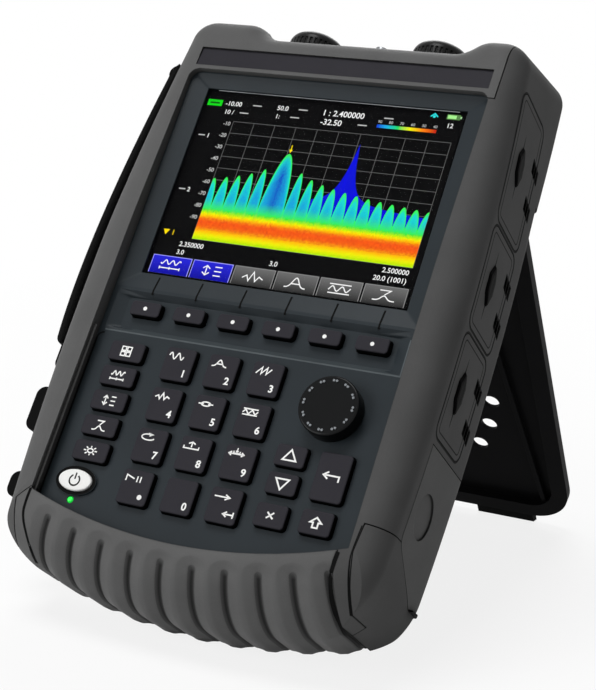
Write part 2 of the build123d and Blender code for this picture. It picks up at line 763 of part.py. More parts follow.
def key_boxes():
    """Name, corners and top of every rectangular key."""
    keys = {}
    for i in range(SOFT_COUNT):
        x = SOFT_FIRST_X + i * SOFT_PITCH
        keys[f"softkey_{i + 1}"] = (x - SOFT_W / 2, x + SOFT_W / 2, SOFT_Y - SOFT_H / 2,
                                    SOFT_Y + SOFT_H / 2, SOFT_TOP_Z)
    for i in range(FUNC_COUNT):
        y = FUNC_BOTTOM - i * FUNC_PITCH
        keys[f"function_key_{i + 1}"] = (FUNC_LEFT, FUNC_LEFT + FUNC_W, y, y + FUNC_H,
                                         KEY_TOP_Z)
    labels = "123456789p0e"
    names = {"p": "key_point", "e": "key_enter"}
    for i, label in enumerate(labels):
        x = NUM_LEFT + (i % NUM_COLS) * NUM_PITCH_X
        y = NUM_BOTTOM - (i // NUM_COLS) * NUM_PITCH_Y
        name = names.get(label, f"key_{label}")
        keys[name] = (x, x + NUM_W, y, y + NUM_H, KEY_TOP_Z)
    for name, (x, width, y0, y1) in RIGHT_KEYS.items():
        keys[name] = (x, x + width, y0, y1, KEY_TOP_Z)
    return keys


def key_cap(x0, x1, y0, y1, top):
    """A key cap with rounded corners and a softened top."""
    cap = plate(oblong(x0, x1, y0, y1, KEY_CORNER_R), KEY_FOOT_Z, top)
    return fillet(cap.faces().sort_by(Axis.Z)[-1].edges(), KEY_EDGE_R)


def power_oval(grow):
    """Outline of the power key, grown by an amount."""
    return Pos(POWER_X, POWER_Y) * Ellipse(POWER_W / 2 + grow, POWER_H / 2 + grow)


def frustum(x, low, high, z, slope_x, slope_low, slope_high, depth):
    """A cutter that narrows as it goes down into the face."""
    top = Pos(0, 0, z) * oblong(-x, x, low, high, 1.0)
    floor = Pos(0, 0, z - depth) * oblong(-x + slope_x, x - slope_x, low + slope_low,
                                          high - slope_high, 1.0)
    return loft([top, floor])


def make_front_panel():
    """The dark front panel with the display opening, trough and key holes."""
    panel = plate(core_plan(FIT), -PANEL_THICK, 0)
    half_w = WINDOW_X / 2
    half_h = WINDOW_Y / 2
    bezel_x = PANEL_HALF_X - 0.6
    bezel_top = PANEL_TOP_Y - 0.6
    panel = panel - frustum(bezel_x, BEZEL_BOTTOM_Y, bezel_top, 0, bezel_x - half_w,
                            -half_h - BEZEL_BOTTOM_Y, bezel_top - half_h, BEZEL_DEPTH)
    panel = panel - box(-half_w, half_w, -half_h, half_h, -PANEL_THICK, 0)
    lap_x = half_w + LENS_LAP + FIT
    lap_y = half_h + LENS_LAP + FIT
    ledge = -BEZEL_DEPTH - BEZEL_LIP
    panel = panel - box(-lap_x, lap_x, -lap_y, lap_y, -PANEL_THICK, ledge)
    panel = panel - frustum(TROUGH_HALF_X, TROUGH_BOTTOM_Y, TROUGH_TOP_Y, 0, TROUGH_SLOPE_X,
                            TROUGH_SLOPE_Y, TROUGH_SLOPE_Y, TROUGH_DEPTH)
    for i in range(SOFT_COUNT):
        x = SOFT_FIRST_X + i * SOFT_PITCH
        panel = panel - box(x - TICK_WIDTH / 2, x + TICK_WIDTH / 2, TICK_BOTTOM_Y,
                            TICK_TOP_Y, -BEZEL_DEPTH - TICK_DEPTH, 0)
    ring = power_oval(POWER_RING) - power_oval(KEY_GAP)
    panel = panel + plate(ring, -1.0, POWER_RING_Z)
    for x0, x1, y0, y1, _ in key_boxes().values():
        hole = oblong(x0 - KEY_GAP, x1 + KEY_GAP, y0 - KEY_GAP, y1 + KEY_GAP,
                      KEY_CORNER_R + KEY_GAP)
        panel = panel - plate(hole, -PANEL_THICK, 1.0)
    panel = panel - plate(power_oval(KEY_GAP), -PANEL_THICK, POWER_RING_Z + 1.0)
    panel = panel - rod_z(ENCODER_BUSH_R + FIT, -PANEL_THICK, 1.0, KNOB_X, KNOB_Y)
    panel = panel - rod_z(LED_R + FIT, -PANEL_THICK, 1.0, LED_X, LED_Y)
    parts["front_panel"] = panel

    top = ledge
    half_lens_x = half_w + LENS_LAP
    half_lens_y = half_h + LENS_LAP
    parts["display_lens"] = box(-half_lens_x, half_lens_x, -half_lens_y, half_lens_y,
                                top - LENS_THICK, top)
    parts["lcd_module"] = box(-half_lens_x, half_lens_x, -half_lens_y, half_lens_y,
                              top - LENS_THICK - LCD_THICK, top - LENS_THICK)
    for name, corners in key_boxes().items():
        parts[name] = key_cap(*corners)
    power = plate(power_oval(0), KEY_FOOT_Z, POWER_TOP_Z)
    parts["power_key"] = fillet(power.faces().sort_by(Axis.Z)[-1].edges(), KEY_EDGE_R)
    led = rod_z(LED_R, -PANEL_THICK - MAT_THICK, LED_TOP_Z, LED_X, LED_Y)
    parts["status_led"] = fillet(led.faces().sort_by(Axis.Z)[-1].edges(), LED_R * 0.6)


def make_knob():
    """The tuning knob with its ring of studs, and the encoder it turns in."""
    cap = rod_z(KNOB_R, KNOB_LOW_Z, KNOB_TOP_Z, KNOB_X, KNOB_Y)
    cap = fillet(cap.edges().sort_by(Axis.Z)[-1], KNOB_EDGE_R)
    knob = cap + rod_z(KNOB_STEM_R, KNOB_STEM_Z, KNOB_LOW_Z + 1.0, KNOB_X, KNOB_Y)
    for i in range(STUD_COUNT):
        for side in (-1, 1):
            turn = radians(i * 360.0 / STUD_COUNT + side * STUD_SPREAD / 2)
            knob = knob + rod_z(STUD_R, KNOB_TOP_Z - 0.5, KNOB_TOP_Z + STUD_HEIGHT,
                                KNOB_X + STUD_RING_R * cos(turn),
                                KNOB_Y + STUD_RING_R * sin(turn))
    parts["tuning_knob"] = knob
    board_low = -PANEL_THICK - MAT_THICK - BOARD_THICK
    encoder = rod_z(ENCODER_BODY_R, ENCODER_BODY_Z, board_low, KNOB_X, KNOB_Y)
    encoder = encoder + rod_z(ENCODER_BUSH_R, board_low, KNOB_LOW_Z - 0.4, KNOB_X, KNOB_Y)
    bore = rod_z(KNOB_STEM_R + RUNNING, KNOB_STEM_Z - 0.5, 1.0, KNOB_X, KNOB_Y)
    parts["encoder"] = encoder - bore


def make_boards():
    """Keypad mat and board behind the keys, and the main board with its shields."""
    margin = WALL + 2.0
    low_plan = bowed_plan(CORE_SIDE + margin, BOARD_TOP_Y, GRIP_X, CORE_BOTTOM_R - margin)
    top = -PANEL_THICK
    bush_hole = rod_z(ENCODER_BUSH_R + FIT, -FAR, 1.0, KNOB_X, KNOB_Y)
    led_hole = rod_z(LED_R + FIT, -FAR, 1.0, LED_X, LED_Y)
    parts["keypad_mat"] = plate(low_plan, top - MAT_THICK, top) - bush_hole - led_hole
    board_top = top - MAT_THICK
    parts["keypad_board"] = plate(low_plan, board_top - BOARD_THICK, board_top) - bush_hole

    main = box(-MAIN_BOARD_HALF_X, MAIN_BOARD_HALF_X, MAIN_BOARD_BOTTOM_Y, MAIN_BOARD_TOP_Y,
               MAIN_BOARD_Z - BOARD_THICK, MAIN_BOARD_Z)
    for i in range(2):
        x = SHIELD_LEFT + i * SHIELD_PITCH
        main = main + box(x, x + SHIELD_W, SHIELD_BOTTOM, SHIELD_BOTTOM + SHIELD_H,
                          MAIN_BOARD_Z, MAIN_BOARD_Z + SHIELD_THICK)
    parts["main_board"] = main


def stand_ears(r):
    """The two lugs on the back that carry the stand's pins, with holes of a radius."""
    pin_z = BACK_LOW_Z - STAND_CLEAR - STAND_THICK / 2
    ears = []
    for side in (-1, 1):
        x0 = BARREL_HALF_X + EAR_GAP
        x1 = x0 + EAR_W
        low, high = sorted((side * x0, side * x1))
        ear = box(low, high, STAND_PIN_Y - STAND_THICK / 2, BACK_STEP_Y, pin_z, BACK_LOW_Z)
        ear = ear + rod_x(STAND_THICK / 2, low, high, STAND_PIN_Y, pin_z)
        ears.append(ear - rod_x(r, low, high, STAND_PIN_Y, pin_z))
    return ears


def make_rear_case(blank):
    """The rear case: a tray with posts, windows for the ports and lugs for the stand."""
    case = plate(core_plan(FIT), BACK_Z, -PANEL_THICK) & blank
    floor = BACK_LOW_Z + WALL
    case = case - plate(core_plan(FIT + WALL), floor, 0)
    room = plate(core_plan(FIT + WALL), BACK_Z, 0)
    case = case - (room & side_plate(back_side(WALL), -FAR / 2, FAR / 2))
    for hole in connector_holes(PORT_R + PORT_HOLE_GAP):
        case = case - hole
    case = case - rod_y(AUX_R + PORT_HOLE_GAP, CORE_TOP_Y - 20.0, TOP_Y, AUX_X, AUX_Z)
    for x in (-MAIN_BOARD_HALF_X + POST_INSET, MAIN_BOARD_HALF_X - POST_INSET):
        for y in (MAIN_BOARD_BOTTOM_Y + POST_INSET, MAIN_BOARD_TOP_Y - POST_INSET):
            low = back_z(y) + WALL - 1.0
            case = case + rod_z(POST_R, low, MAIN_BOARD_Z - BOARD_THICK, x, y)
    for y, length, height in SOCKETS:
        window = oblong(y - length / 2 - FIT, y + length / 2 + FIT,
                        SOCKET_Z - height / 2 - FIT, SOCKET_Z + height / 2 + FIT, 0.8)
        case = case - side_plate(window, HALF_WIDTH / 2, FAR)
    case = case - box(0, FAR, BATTERY_BOTTOM - 1.0, BATTERY_BOTTOM + BATTERY_H + 1.0,
                      floor, floor + BATTERY_THICK + 1.0)
    for ear in stand_ears(PIN_R + RUNNING):
        case = case + ear
    for x, y in SCREWS:
        face = back_z(y)
        sunk = face + SCREW_SUNK + SCREW_HEAD_H
        case = case + rod_z(SCREW_HEAD_R + 1.5, sunk, sunk + SCREW_LENGTH + 1.5, x, y)
        case = case - rod_z(SCREW_HEAD_R + FIT, face - 1.0, sunk, x, y)
        case = case - rod_z(SCREW_R + RUNNING, sunk, sunk + SCREW_LENGTH, x, y)
    parts["rear_case"] = case

    left = BATTERY_LEFT
    right = side_x(BATTERY_BOTTOM, CORE_SIDE) - FIT
    cell = box(left, right, BATTERY_BOTTOM, BATTERY_BOTTOM + BATTERY_H, floor,
               floor + BATTERY_THICK)
    parts["battery_pack"] = fillet(cell.edges().filter_by(Axis.X), BATTERY_EDGE_R)

    screws = []
    for x, y in SCREWS:
        face = back_z(y)
        low = face + SCREW_SUNK
        head = rod_z(SCREW_HEAD_R, low, low + SCREW_HEAD_H, x, y)
        head = head - box(x - SCREW_HEAD_R * 0.6, x + SCREW_HEAD_R * 0.6, y - 0.4, y + 0.4,
                          low, low + 0.8)
        head = head - box(x - 0.4, x + 0.4, y - SCREW_HEAD_R * 0.6, y + SCREW_HEAD_R * 0.6,
                          low, low + 0.8)
        shank_end = low + SCREW_HEAD_H + SCREW_LENGTH - 0.3
        screws.append(head + rod_z(SCREW_R, low + SCREW_HEAD_H, shank_end, x, y))
    parts["case_screws"] = Compound(children=screws)

    sockets = []
    for y, length, height in SOCKETS:
        outer = side_x(y, CORE_SIDE) + SOCKET_OUT
        shape = oblong(y - length / 2, y + length / 2, SOCKET_Z - height / 2,
                       SOCKET_Z + height / 2, 0.8)
        mouth = oblong(y - length / 2 + SOCKET_RIM, y + length / 2 - SOCKET_RIM,
                       SOCKET_Z - height / 2 + SOCKET_RIM, SOCKET_Z + height / 2 - SOCKET_RIM,
                       0.5)
        block = side_plate(shape, outer - SOCKET_DEPTH, outer)
        sockets.append(block - side_plate(mouth, outer - SOCKET_RECESS, outer))
    parts["port_sockets"] = Compound(children=sockets)


def make_top_connectors():
    """The two large connectors, their dust caps and the small antenna connector."""
    ports = []
    for side in (-1, 1):
        x = PORT_MID_X + side * PORT_X
        port = rod_y(PORT_R, CORE_TOP_Y - 8.0, PORT_TOP_Y, x, PORT_Z)
        nut = Pos(x, VALLEY_Y, PORT_Z) * Rot(-90, 0, 0) * extrude(
            RegularPolygon(PORT_NUT_R, 6), amount=PORT_NUT_H)
        ports.append(port + nut - rod_y(PORT_R - 3.0, PORT_TOP_Y - 8.0, PORT_TOP_Y, x, PORT_Z))
    parts["rf_ports"] = Compound(children=ports)
    low = VALLEY_Y + PORT_NUT_H + CAP_GAP
    for name, side in (("dust_cap_left", -1), ("dust_cap_right", 1)):
        x = PORT_MID_X + side * PORT_X
        cap = rod_y(CAP_R, low, CAP_TOP_Y, x, PORT_Z)
        cap = fillet(cap.edges().sort_by(Axis.Y)[-1], CAP_DOME_R)
        for i in range(CAP_FLUTES):
            turn = radians(i * 360.0 / CAP_FLUTES)
            cap = cap - rod_y(CAP_FLUTE_R, low - 1.0, CAP_TOP_Y - CAP_DOME_R,
                              x + CAP_R * cos(turn), PORT_Z + CAP_R * sin(turn))
        parts[name] = cap - rod_y(PORT_R + CAP_GAP, low - 1.0, PORT_TOP_Y + CAP_GAP, x, PORT_Z)
    nut = Pos(AUX_X, VALLEY_Y, AUX_Z) * Rot(-90, 0, 0) * extrude(
        RegularPolygon(AUX_NUT_R, 6), amount=AUX_NUT_Y - VALLEY_Y)
    jack = nut + rod_y(AUX_R, CORE_TOP_Y - 8.0, AUX_TOP_Y, AUX_X, AUX_Z)
    parts["antenna_port"] = jack - rod_y(AUX_R - 1.2, AUX_TOP_Y - 6.0, AUX_TOP_Y, AUX_X, AUX_Z)


def ground_z():
    """Height of the ground under the leaning body, along the leaned upright."""
    lean = radians(LEAN)
    y = GRIP_Y - BOTTOM_R + GRIP_BACK_R
    z = BACK_LOW_Z + GRIP_BACK_R
    return y * cos(lean) + z * sin(lean) - GRIP_BACK_R


def stand_pin_z():
    """Depth of the kickstand's pin."""
    return BACK_LOW_Z - STAND_CLEAR - STAND_THICK / 2


def opened(piece):
    """Swing a piece that is drawn with the stand folded to the open stand."""
    return piece.rotate(Axis((0, STAND_PIN_Y, stand_pin_z()), (1, 0, 0)), STAND_OPEN)


def ground_waste():
    """Everything below the ground, in the instrument's own axes."""
    block = Pos(0, 0, ground_z() - FAR / 2) * Box(2 * FAR, 3 * FAR, FAR)
    return Rot(LEAN - 90.0, 0, 0) * block


def make_stand():
    """The kickstand: a rimmed tray on a barrel, its pins and its two rubber feet."""
    inner = BACK_LOW_Z - STAND_CLEAR
    outer = inner - STAND_THICK
    top = STAND_PIN_Y - STAND_TOP_GAP
    low = STAND_PIN_Y - STAND_LENGTH
    x = STAND_HALF_X
    outline = polygon((-x, top), (x, top), (x, low), (-x, low))
    outline = fillet(outline.vertices().sort_by(Axis.Y)[:2], STAND_CORNER_R)
    tray = plate(outline, outer, inner)
    tray = fillet(tray.faces().sort_by(Axis.Z)[0].edges().sort_by(Axis.Y)[:-1], 2.0)
    hollow = offset(outline, -STAND_RIM)
    tray = tray - plate(hollow, outer + STAND_SKIN, inner + 1.0)
    for side in (-1, 1):
        for hole_x, s in STAND_HOLES:
            tray = tray - rod_z(STAND_HOLE_R, outer - 1.0, inner, side * hole_x, STAND_PIN_Y - s)
        rib = polygon(
            (side * STAND_RIB_TOP_X, top - STAND_RIM),
            (side * (STAND_RIB_TOP_X + STAND_RIB_W), top - STAND_RIM),
            (side * (STAND_RIB_LOW_X + STAND_RIB_W), low + STAND_RIM),
            (side * STAND_RIB_LOW_X, low + STAND_RIM),
        )
        tray = tray + plate(rib, outer + STAND_SKIN - 0.5, inner - 1.6)
    pin_z = stand_pin_z()
    neck = box(-BARREL_HALF_X, BARREL_HALF_X, top - 1.0, STAND_PIN_Y, outer, inner)
    barrel = rod_x(STAND_THICK / 2, -BARREL_HALF_X, BARREL_HALF_X, STAND_PIN_Y, pin_z)
    stand = tray + neck + barrel
    pins = []
    for side in (-1, 1):
        end = BARREL_HALF_X + EAR_GAP + EAR_W
        x0, x1 = sorted((side * end, side * (end - PIN_LENGTH)))
        pins.append(rod_x(PIN_R, x0, x1, STAND_PIN_Y, pin_z))
        bore_end = side * (end - PIN_LENGTH - EAR_GAP)
        b0, b1 = sorted((bore_end, side * end))
        stand = stand - rod_x(PIN_R + RUNNING, b0, b1, STAND_PIN_Y, pin_z)
    parts["hinge_pins"] = Compound(children=pins)
    feet = []
    for side in (-1, 1):
        x0, x1 = sorted((side * FOOT_INNER_X, side * FOOT_OUTER_X))
        socket = box(x0, x1, low, low + FOOT_LAP, outer + 1.0, inner - 1.0)
        stand = stand - socket
        foot = box(x0 + FIT, x1 - FIT, low - FOOT_REACH, low + FOOT_LAP - FIT, outer + 1.0 + FIT,
                   inner - 1.0 - FIT)
        feet.append(opened(foot) - ground_waste())
    parts["kickstand"] = opened(stand)
    parts["kickstand_feet"] = Compound(children=feet)


def arc_centre(a, b, c):
    """Centre of the circle through three points."""
    d = 2 * (a[0] * (b[1] - c[1]) + b[0] * (c[1] - a[1]) + c[0] * (a[1] - b[1]))
    sq = [p[0] ** 2 + p[1] ** 2 for p in (a, b, c)]
    x = (sq[0] * (b[1] - c[1]) + sq[1] * (c[1] - a[1]) + sq[2] * (a[1] - b[1])) / d
    y = (sq[0] * (c[0] - b[0]) + sq[1] * (a[0] - c[0]) + sq[2] * (b[0] - a[0])) / d
    return x, y


def make_strap(blank):
    """The hand strap, bowed away from the left side, and what holds its ends."""
    z1 = STRAP_FRONT_Z
    z0 = z1 - STRAP_WIDTH
    cx, cy = arc_centre(STRAP_TOP, STRAP_MID, STRAP_LOW)
    r = hypot(STRAP_MID[0] - cx, STRAP_MID[1] - cy)
    half = STRAP_THICK / 2
    band = Pos(cx, cy) * (Circle(r + half) - Circle(r - half))
    clip = polygon((-FAR, STRAP_TOP[1]), (-FAR, STRAP_LOW[1]), (0, STRAP_LOW[1]),
                   (0, STRAP_TOP[1]))
    parts["hand_strap"] = plate(band & clip, z0, z1)
    side = Pos(-FIT, 0, 0) * blank
    lugs = []
    for x, low, high, depth in STRAP_LUGS:
        middle = (z0 + z1) / 2 if depth > STRAP_WIDTH - 1.0 else z1 - depth / 2
        outline = oblong(x, 0, low, high, min(LUG_R, (high - low) / 2 - 0.1))
        lugs.append(plate(outline, middle - depth / 2, middle + depth / 2) - side)
    parts["strap_lugs"] = Compound(children=lugs)


def footprint(pieces):
    """Middle of all the pieces, seen from above, with the ground under them."""
    boxes = [p.bounding_box() for p in pieces]
    x = (min(b.min.X for b in boxes) + max(b.max.X for b in boxes)) / 2
    y = (min(b.min.Y for b in boxes) + max(b.max.Y for b in boxes)) / 2
    return x, y, ground_z()


def main():
    """Make every piece, lean the instrument back and write one file for each."""
    blank = body_blank()
    make_mouldings(blank)
    make_front_panel()
    make_knob()
    make_boards()
    make_rear_case(blank)
    make_top_connectors()
    make_stand()
    make_strap(blank)
    leaned = {name: Rot(90.0 - LEAN, 0, 0) * piece for name, piece in parts.items()}
    x, y, z = footprint(leaned.values())
    os.makedirs("parts", exist_ok=True)
    for name, piece in leaned.items():
        export_step(Pos(-x, -y, -z) * piece, f"parts/{name}.step")
    print("origin shift", round(x, 4), round(y, 4), round(z, 4))
    print("nodes", len(leaned))


main()
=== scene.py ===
import math
import random

import bpy
from mathutils import Matrix, Vector
from mathutils.bvhtree import BVHTree


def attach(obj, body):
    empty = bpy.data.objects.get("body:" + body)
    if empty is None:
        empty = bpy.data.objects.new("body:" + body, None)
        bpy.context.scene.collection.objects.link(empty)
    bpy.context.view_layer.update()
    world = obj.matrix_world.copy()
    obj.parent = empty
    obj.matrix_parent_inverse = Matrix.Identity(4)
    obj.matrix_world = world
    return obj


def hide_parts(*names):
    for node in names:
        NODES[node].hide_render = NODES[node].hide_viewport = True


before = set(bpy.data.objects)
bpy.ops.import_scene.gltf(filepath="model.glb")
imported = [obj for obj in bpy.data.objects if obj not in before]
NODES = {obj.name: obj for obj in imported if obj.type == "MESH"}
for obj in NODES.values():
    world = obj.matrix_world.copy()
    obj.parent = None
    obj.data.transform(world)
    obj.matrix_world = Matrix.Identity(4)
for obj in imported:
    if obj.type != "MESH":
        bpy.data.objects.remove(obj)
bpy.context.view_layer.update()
HOUSING = "housing"

# The face's own axes, in mm: u to the right, v up the face, w out of it, from the display's centre.
MM = 0.001
LEAN = math.radians(33.1)
TILT = math.pi / 2 - LEAN
ORIGIN = Vector((8.8763, -48.2784, 191.7386))
TURN = Matrix.Rotation(TILT, 4, "X")
FACE = Matrix.Translation(ORIGIN * MM) @ TURN @ Matrix.Scale(MM, 4)
FACE_BACK = FACE.inverted()

# Camera, in the face's axes.
CAMERA_AT = (334.5, -308.9, 625.0)
CAMERA_RIGHT = (0.8949, 0.2944, -0.3355)
CAMERA_DOWN = (0.1425, -0.9007, -0.4104)
CAMERA_FORWARD = (-0.4230, 0.3195, -0.8480)
FOCAL_PX = 1709.9
IMAGE_LONG_PX = 690
SENSOR_MM = 36.0

# The bowed right side.
HALF_WIDTH, SIDE_R = 92.3, 1500.0
SIDE_LOW, SIDE_HIGH = -62.0, -57.94  # the side is widest between these heights
SIDE_RISE, SIDE_TOP_W = 0.26, -6.7  # above them it leans: height per depth, from this depth


def srgb(text):
    """Linear colour of a six digit hex colour."""
    out = []
    for i in range(0, 6, 2):
        c = int(text[i:i + 2], 16) / 255
        out.append(c / 12.92 if c <= 0.04045 else ((c + 0.055) / 1.055) ** 2.4)
    return (*out, 1.0)


def scaled(colour, k):
    return (*[min(1.0, c * k) for c in colour[:3]], 1.0)


# Shader helpers.


def give(nt, made, sockets):
    """Sets a node's inputs, or links those whose value is another node's output."""
    for key, value in sockets.items():
        if isinstance(value, bpy.types.NodeSocket):
            nt.links.new(value, made.inputs[key])
        else:
            made.inputs[key].default_value = value


def node(nt, kind, sockets=None, **props):
    made = nt.nodes.new("ShaderNode" + kind)
    for key, value in props.items():
        setattr(made, key, value)
    give(nt, made, sockets or {})
    return made


def math_node(nt, operation, a, b=0.0):
    return node(nt, "Math", {0: a, 1: b}, operation=operation).outputs[0]


def times(nt, a, b):
    return math_node(nt, "MULTIPLY", a, b)


def minus(nt, a, b):
    return math_node(nt, "SUBTRACT", a, b)


def larger(nt, a, b):
    return math_node(nt, "MAXIMUM", a, b)


def parts_of(nt, vector):
    return node(nt, "SeparateXYZ", {0: vector}).outputs


def new_material(name):
    mat = bpy.data.materials.new(name)
    mat.use_nodes = True
    nt = mat.node_tree
    nt.nodes.clear()
    shader = node(nt, "BsdfPrincipled")
    node(nt, "OutputMaterial", {0: shader.outputs[0]})
    return mat, nt, shader


def face_coords(nt):
    """The point in the face's axes, in mm, for anything that sits at the origin."""
    place = node(nt, "TexCoord").outputs["Object"]
    shift = -(TURN.inverted() @ ORIGIN)
    sockets = {"Vector": place, "Scale": (1 / MM,) * 3, "Rotation": (-TILT, 0, 0), "Location": shift}
    return node(nt, "Mapping", sockets).outputs[0]


def noise(nt, where, scale, detail=3.0, roughness=0.5):
    sockets = {"Vector": where, "Scale": scale, "Detail": detail, "Roughness": roughness}
    return node(nt, "TexNoise", sockets).outputs[0]


def spread(nt, value, low, high, to_low, to_high):
    sockets = {"Value": value, 1: low, 2: high, 3: to_low, 4: to_high}
    return node(nt, "MapRange", sockets, clamp=True).outputs[0]


def mix(nt, factor, a, b):
    return node(nt, "Mix", {0: factor, 6: a, 7: b}, data_type="RGBA").outputs[2]


def rounded_normal(nt, radius_mm):
    return node(nt, "Bevel", {"Radius": radius_mm * MM}, samples=4).outputs[0]


def bumped(nt, depth_mm, height, normal=None, strength=1.0):
    """The normal of a surface with a relief of this depth."""
    sockets = {"Strength": strength, "Distance": depth_mm * MM, "Height": height}
    if normal is not None:
        sockets["Normal"] = normal
    return node(nt, "Bump", sockets).outputs[0]


def edge_mask(nt, normal):
    """1 on an edge, 0 on a flat or gently curved face."""
    flat = node(nt, "NewGeometry").outputs["Normal"]
    dot = node(nt, "VectorMath", {0: normal, 1: flat}, operation="DOT_PRODUCT").outputs["Value"]
    return spread(nt, dot, 0.995, 0.80, 0.0, 1.0)


def below_side(nt, where):
    """How far a point lies under the bowed right side, in mm."""
    u, v, w = parts_of(nt, where)
    lean = times(nt, minus(nt, SIDE_TOP_W, w), SIDE_RISE)
    up = minus(nt, minus(nt, v, lean), SIDE_HIGH)
    down = minus(nt, SIDE_LOW, v)
    off = larger(nt, larger(nt, up, down), 0.0)
    bow = math_node(nt, "DIVIDE", math_node(nt, "POWER", off, 2.0), 2 * SIDE_R)
    return minus(nt, minus(nt, HALF_WIDTH, bow), u)


GRIP_CENTRE = (-1.0, 66.0)  # middle of the grip's fan of grooves
GROOVE_FIRST, GROOVE_PITCH, GROOVE_COUNT = -14.9, 3.5, 10  # degrees
RIB_START = (242.0, 252.0)  # from that middle, where the ribs swell
RIB_END_W = (-50.0, -40.0)  # depth at which they end
GROOVE_START = (244.8, 246.8)  # from that middle, where the grooves begin
GROOVE_SHADE_SHARE = (0.03, 0.115)  # share of the pitch that takes painted shade


def grip_lobes(nt, where):
    """Height of the ribs between the grip's grooves, 1 on top of a rib and 0 in a groove, and a mask
    for painted shade down the middle of each groove."""
    u, v, w = parts_of(nt, where)
    u = minus(nt, u, GRIP_CENTRE[0])
    v = minus(nt, GRIP_CENTRE[1], v)
    turn = times(nt, math_node(nt, "ARCTAN2", u, v), 180 / math.pi)
    step = math_node(nt, "DIVIDE", minus(nt, turn, GROOVE_FIRST), GROOVE_PITCH)
    held = math_node(nt, "MINIMUM", larger(nt, step, -0.5), GROOVE_COUNT - 0.5)
    off = math_node(nt, "PINGPONG", held, 0.5)
    low = math_node(nt, "POWER", minus(nt, 1.0, times(nt, off, 2.0)), 2.0)
    squares = [math_node(nt, "POWER", side, 2.0) for side in (u, v)]
    reach = math_node(nt, "SQRT", math_node(nt, "ADD", *squares))
    low = times(nt, low, spread(nt, reach, *RIB_START, 0.0, 1.0))
    low = times(nt, low, spread(nt, w, *RIB_END_W, 0.0, 1.0))
    dark = spread(nt, off, *GROOVE_SHADE_SHARE, 1.0, 0.0)
    groove_shade_mask = times(nt, dark, spread(nt, reach, *GROOVE_START, 0.0, 1.0))
    return minus(nt, 1.0, low), groove_shade_mask


RECESS_SINK = (0.35, 0.8)  # this far under the right side, in mm, a recess begins
RECESS_V = ((-102.0, -101.5), (70.5, 70.0))
RECESS_W = ((-48.5, -48.0), (-6.5, -7.0))


def moulded(name, colour, rough=0.55, grain=2.4, depth=0.03, mottle=0.07, wear_and_highlight=0.25, specular=0.05,
            edge=0.35, crease_shade=0.0, sides=None, side_level=0.0, recess=None, lobes=0.0, soft=0.0, coat=0.0):
    """Moulded plastic or rubber: fine grain, faint mottling, paler edges that are partly rubbed and partly
    painted highlight, and, where asked, painted shade in creases and where open sky is blocked. Where sides
    is given, what lies below side_level along w takes that colour: painted shade on
    the sides of keys, and the knob's body under its studs' painted glint. Where recess is given, what is sunk
    into the right side takes that one and is smoother:
    the inlays' own black and painted shade in the recesses. Lobes is how far the ribs of the grip swell
    between its grooves, in mm, with painted shade down their middles, and soft rounds off its edges by that
    much."""
    mat, nt, shader = new_material(name)
    where = face_coords(nt)
    broad = noise(nt, where, 0.045, 4.0)
    fine = noise(nt, where, grain, 2.0)
    mottled = spread(nt, broad, 0.3, 0.7, 0.0, 1.0)
    tone = mix(nt, mottled, scaled(colour, 1 - mottle), scaled(colour, 1 + mottle))
    tone = mix(nt, spread(nt, fine, 0.35, 0.75, 0.0, 0.35), tone, scaled(colour, 0.72))
    normal = rounded_normal(nt, edge)
    at_edge = edge_mask(nt, normal)
    # Paler edges: partly rubbed, partly painted highlight.
    worn_and_lit = times(nt, at_edge, spread(nt, broad, 0.35, 0.65, 0.3, 1.0))
    tone = mix(nt, times(nt, worn_and_lit, wear_and_highlight), tone, scaled(colour, 1.9))
    # Painted shade: darker creases, and darker where open sky is blocked.
    if crease_shade:
        tone = mix(nt, times(nt, at_edge, crease_shade), tone, scaled(colour, 0.12))
        open_sky = node(nt, "AmbientOcclusion", {"Distance": 6 * MM}, samples=6).outputs["AO"]
        tone = mix(nt, spread(nt, open_sky, 0.95, 0.45, 0.0, 0.9), tone, scaled(colour, 0.1))
    if lobes:
        height, groove = grip_lobes(nt, where)
        # Painted shade down the middle of the grip's grooves.
        tone = mix(nt, times(nt, groove, 0.85), tone, scaled(colour, 0.08))
    roughness = spread(nt, fine, 0.25, 0.75, rough - 0.07, rough + 0.07)
    # Below side_level: painted shade on keys' sides; on the knob, its body colour under the studs' painted
    # glint.
    if sides is not None:
        w = parts_of(nt, where)[2]
        tone = mix(nt, spread(nt, w, side_level - 0.25, side_level, 1.0, 0.0), tone, sides)
    # Sunk into the right side: the inlays' own black, and painted shade in the recesses.
    if recess is not None:
        v, w = parts_of(nt, where)[1:]
        sunk = spread(nt, below_side(nt, where), *RECESS_SINK, 0.0, 1.0)
        for value, ends in ((v, RECESS_V), (w, RECESS_W)):
            for low, high in ends:
                sunk = times(nt, sunk, spread(nt, value, low, high, 0.0, 1.0))
        tone = mix(nt, sunk, tone, recess)
        roughness = minus(nt, roughness, times(nt, sunk, 0.1))
    if soft:
        normal = rounded_normal(nt, soft)
    if lobes:
        normal = bumped(nt, lobes, height, normal)
    if coat:
        give(nt, shader, {"Coat Weight": coat, "Coat Roughness": 0.1})
    give(nt, shader, {"Base Color": tone, "Roughness": roughness, "Specular IOR Level": specular,
                      "Normal": bumped(nt, depth, fine, normal)})
    return mat


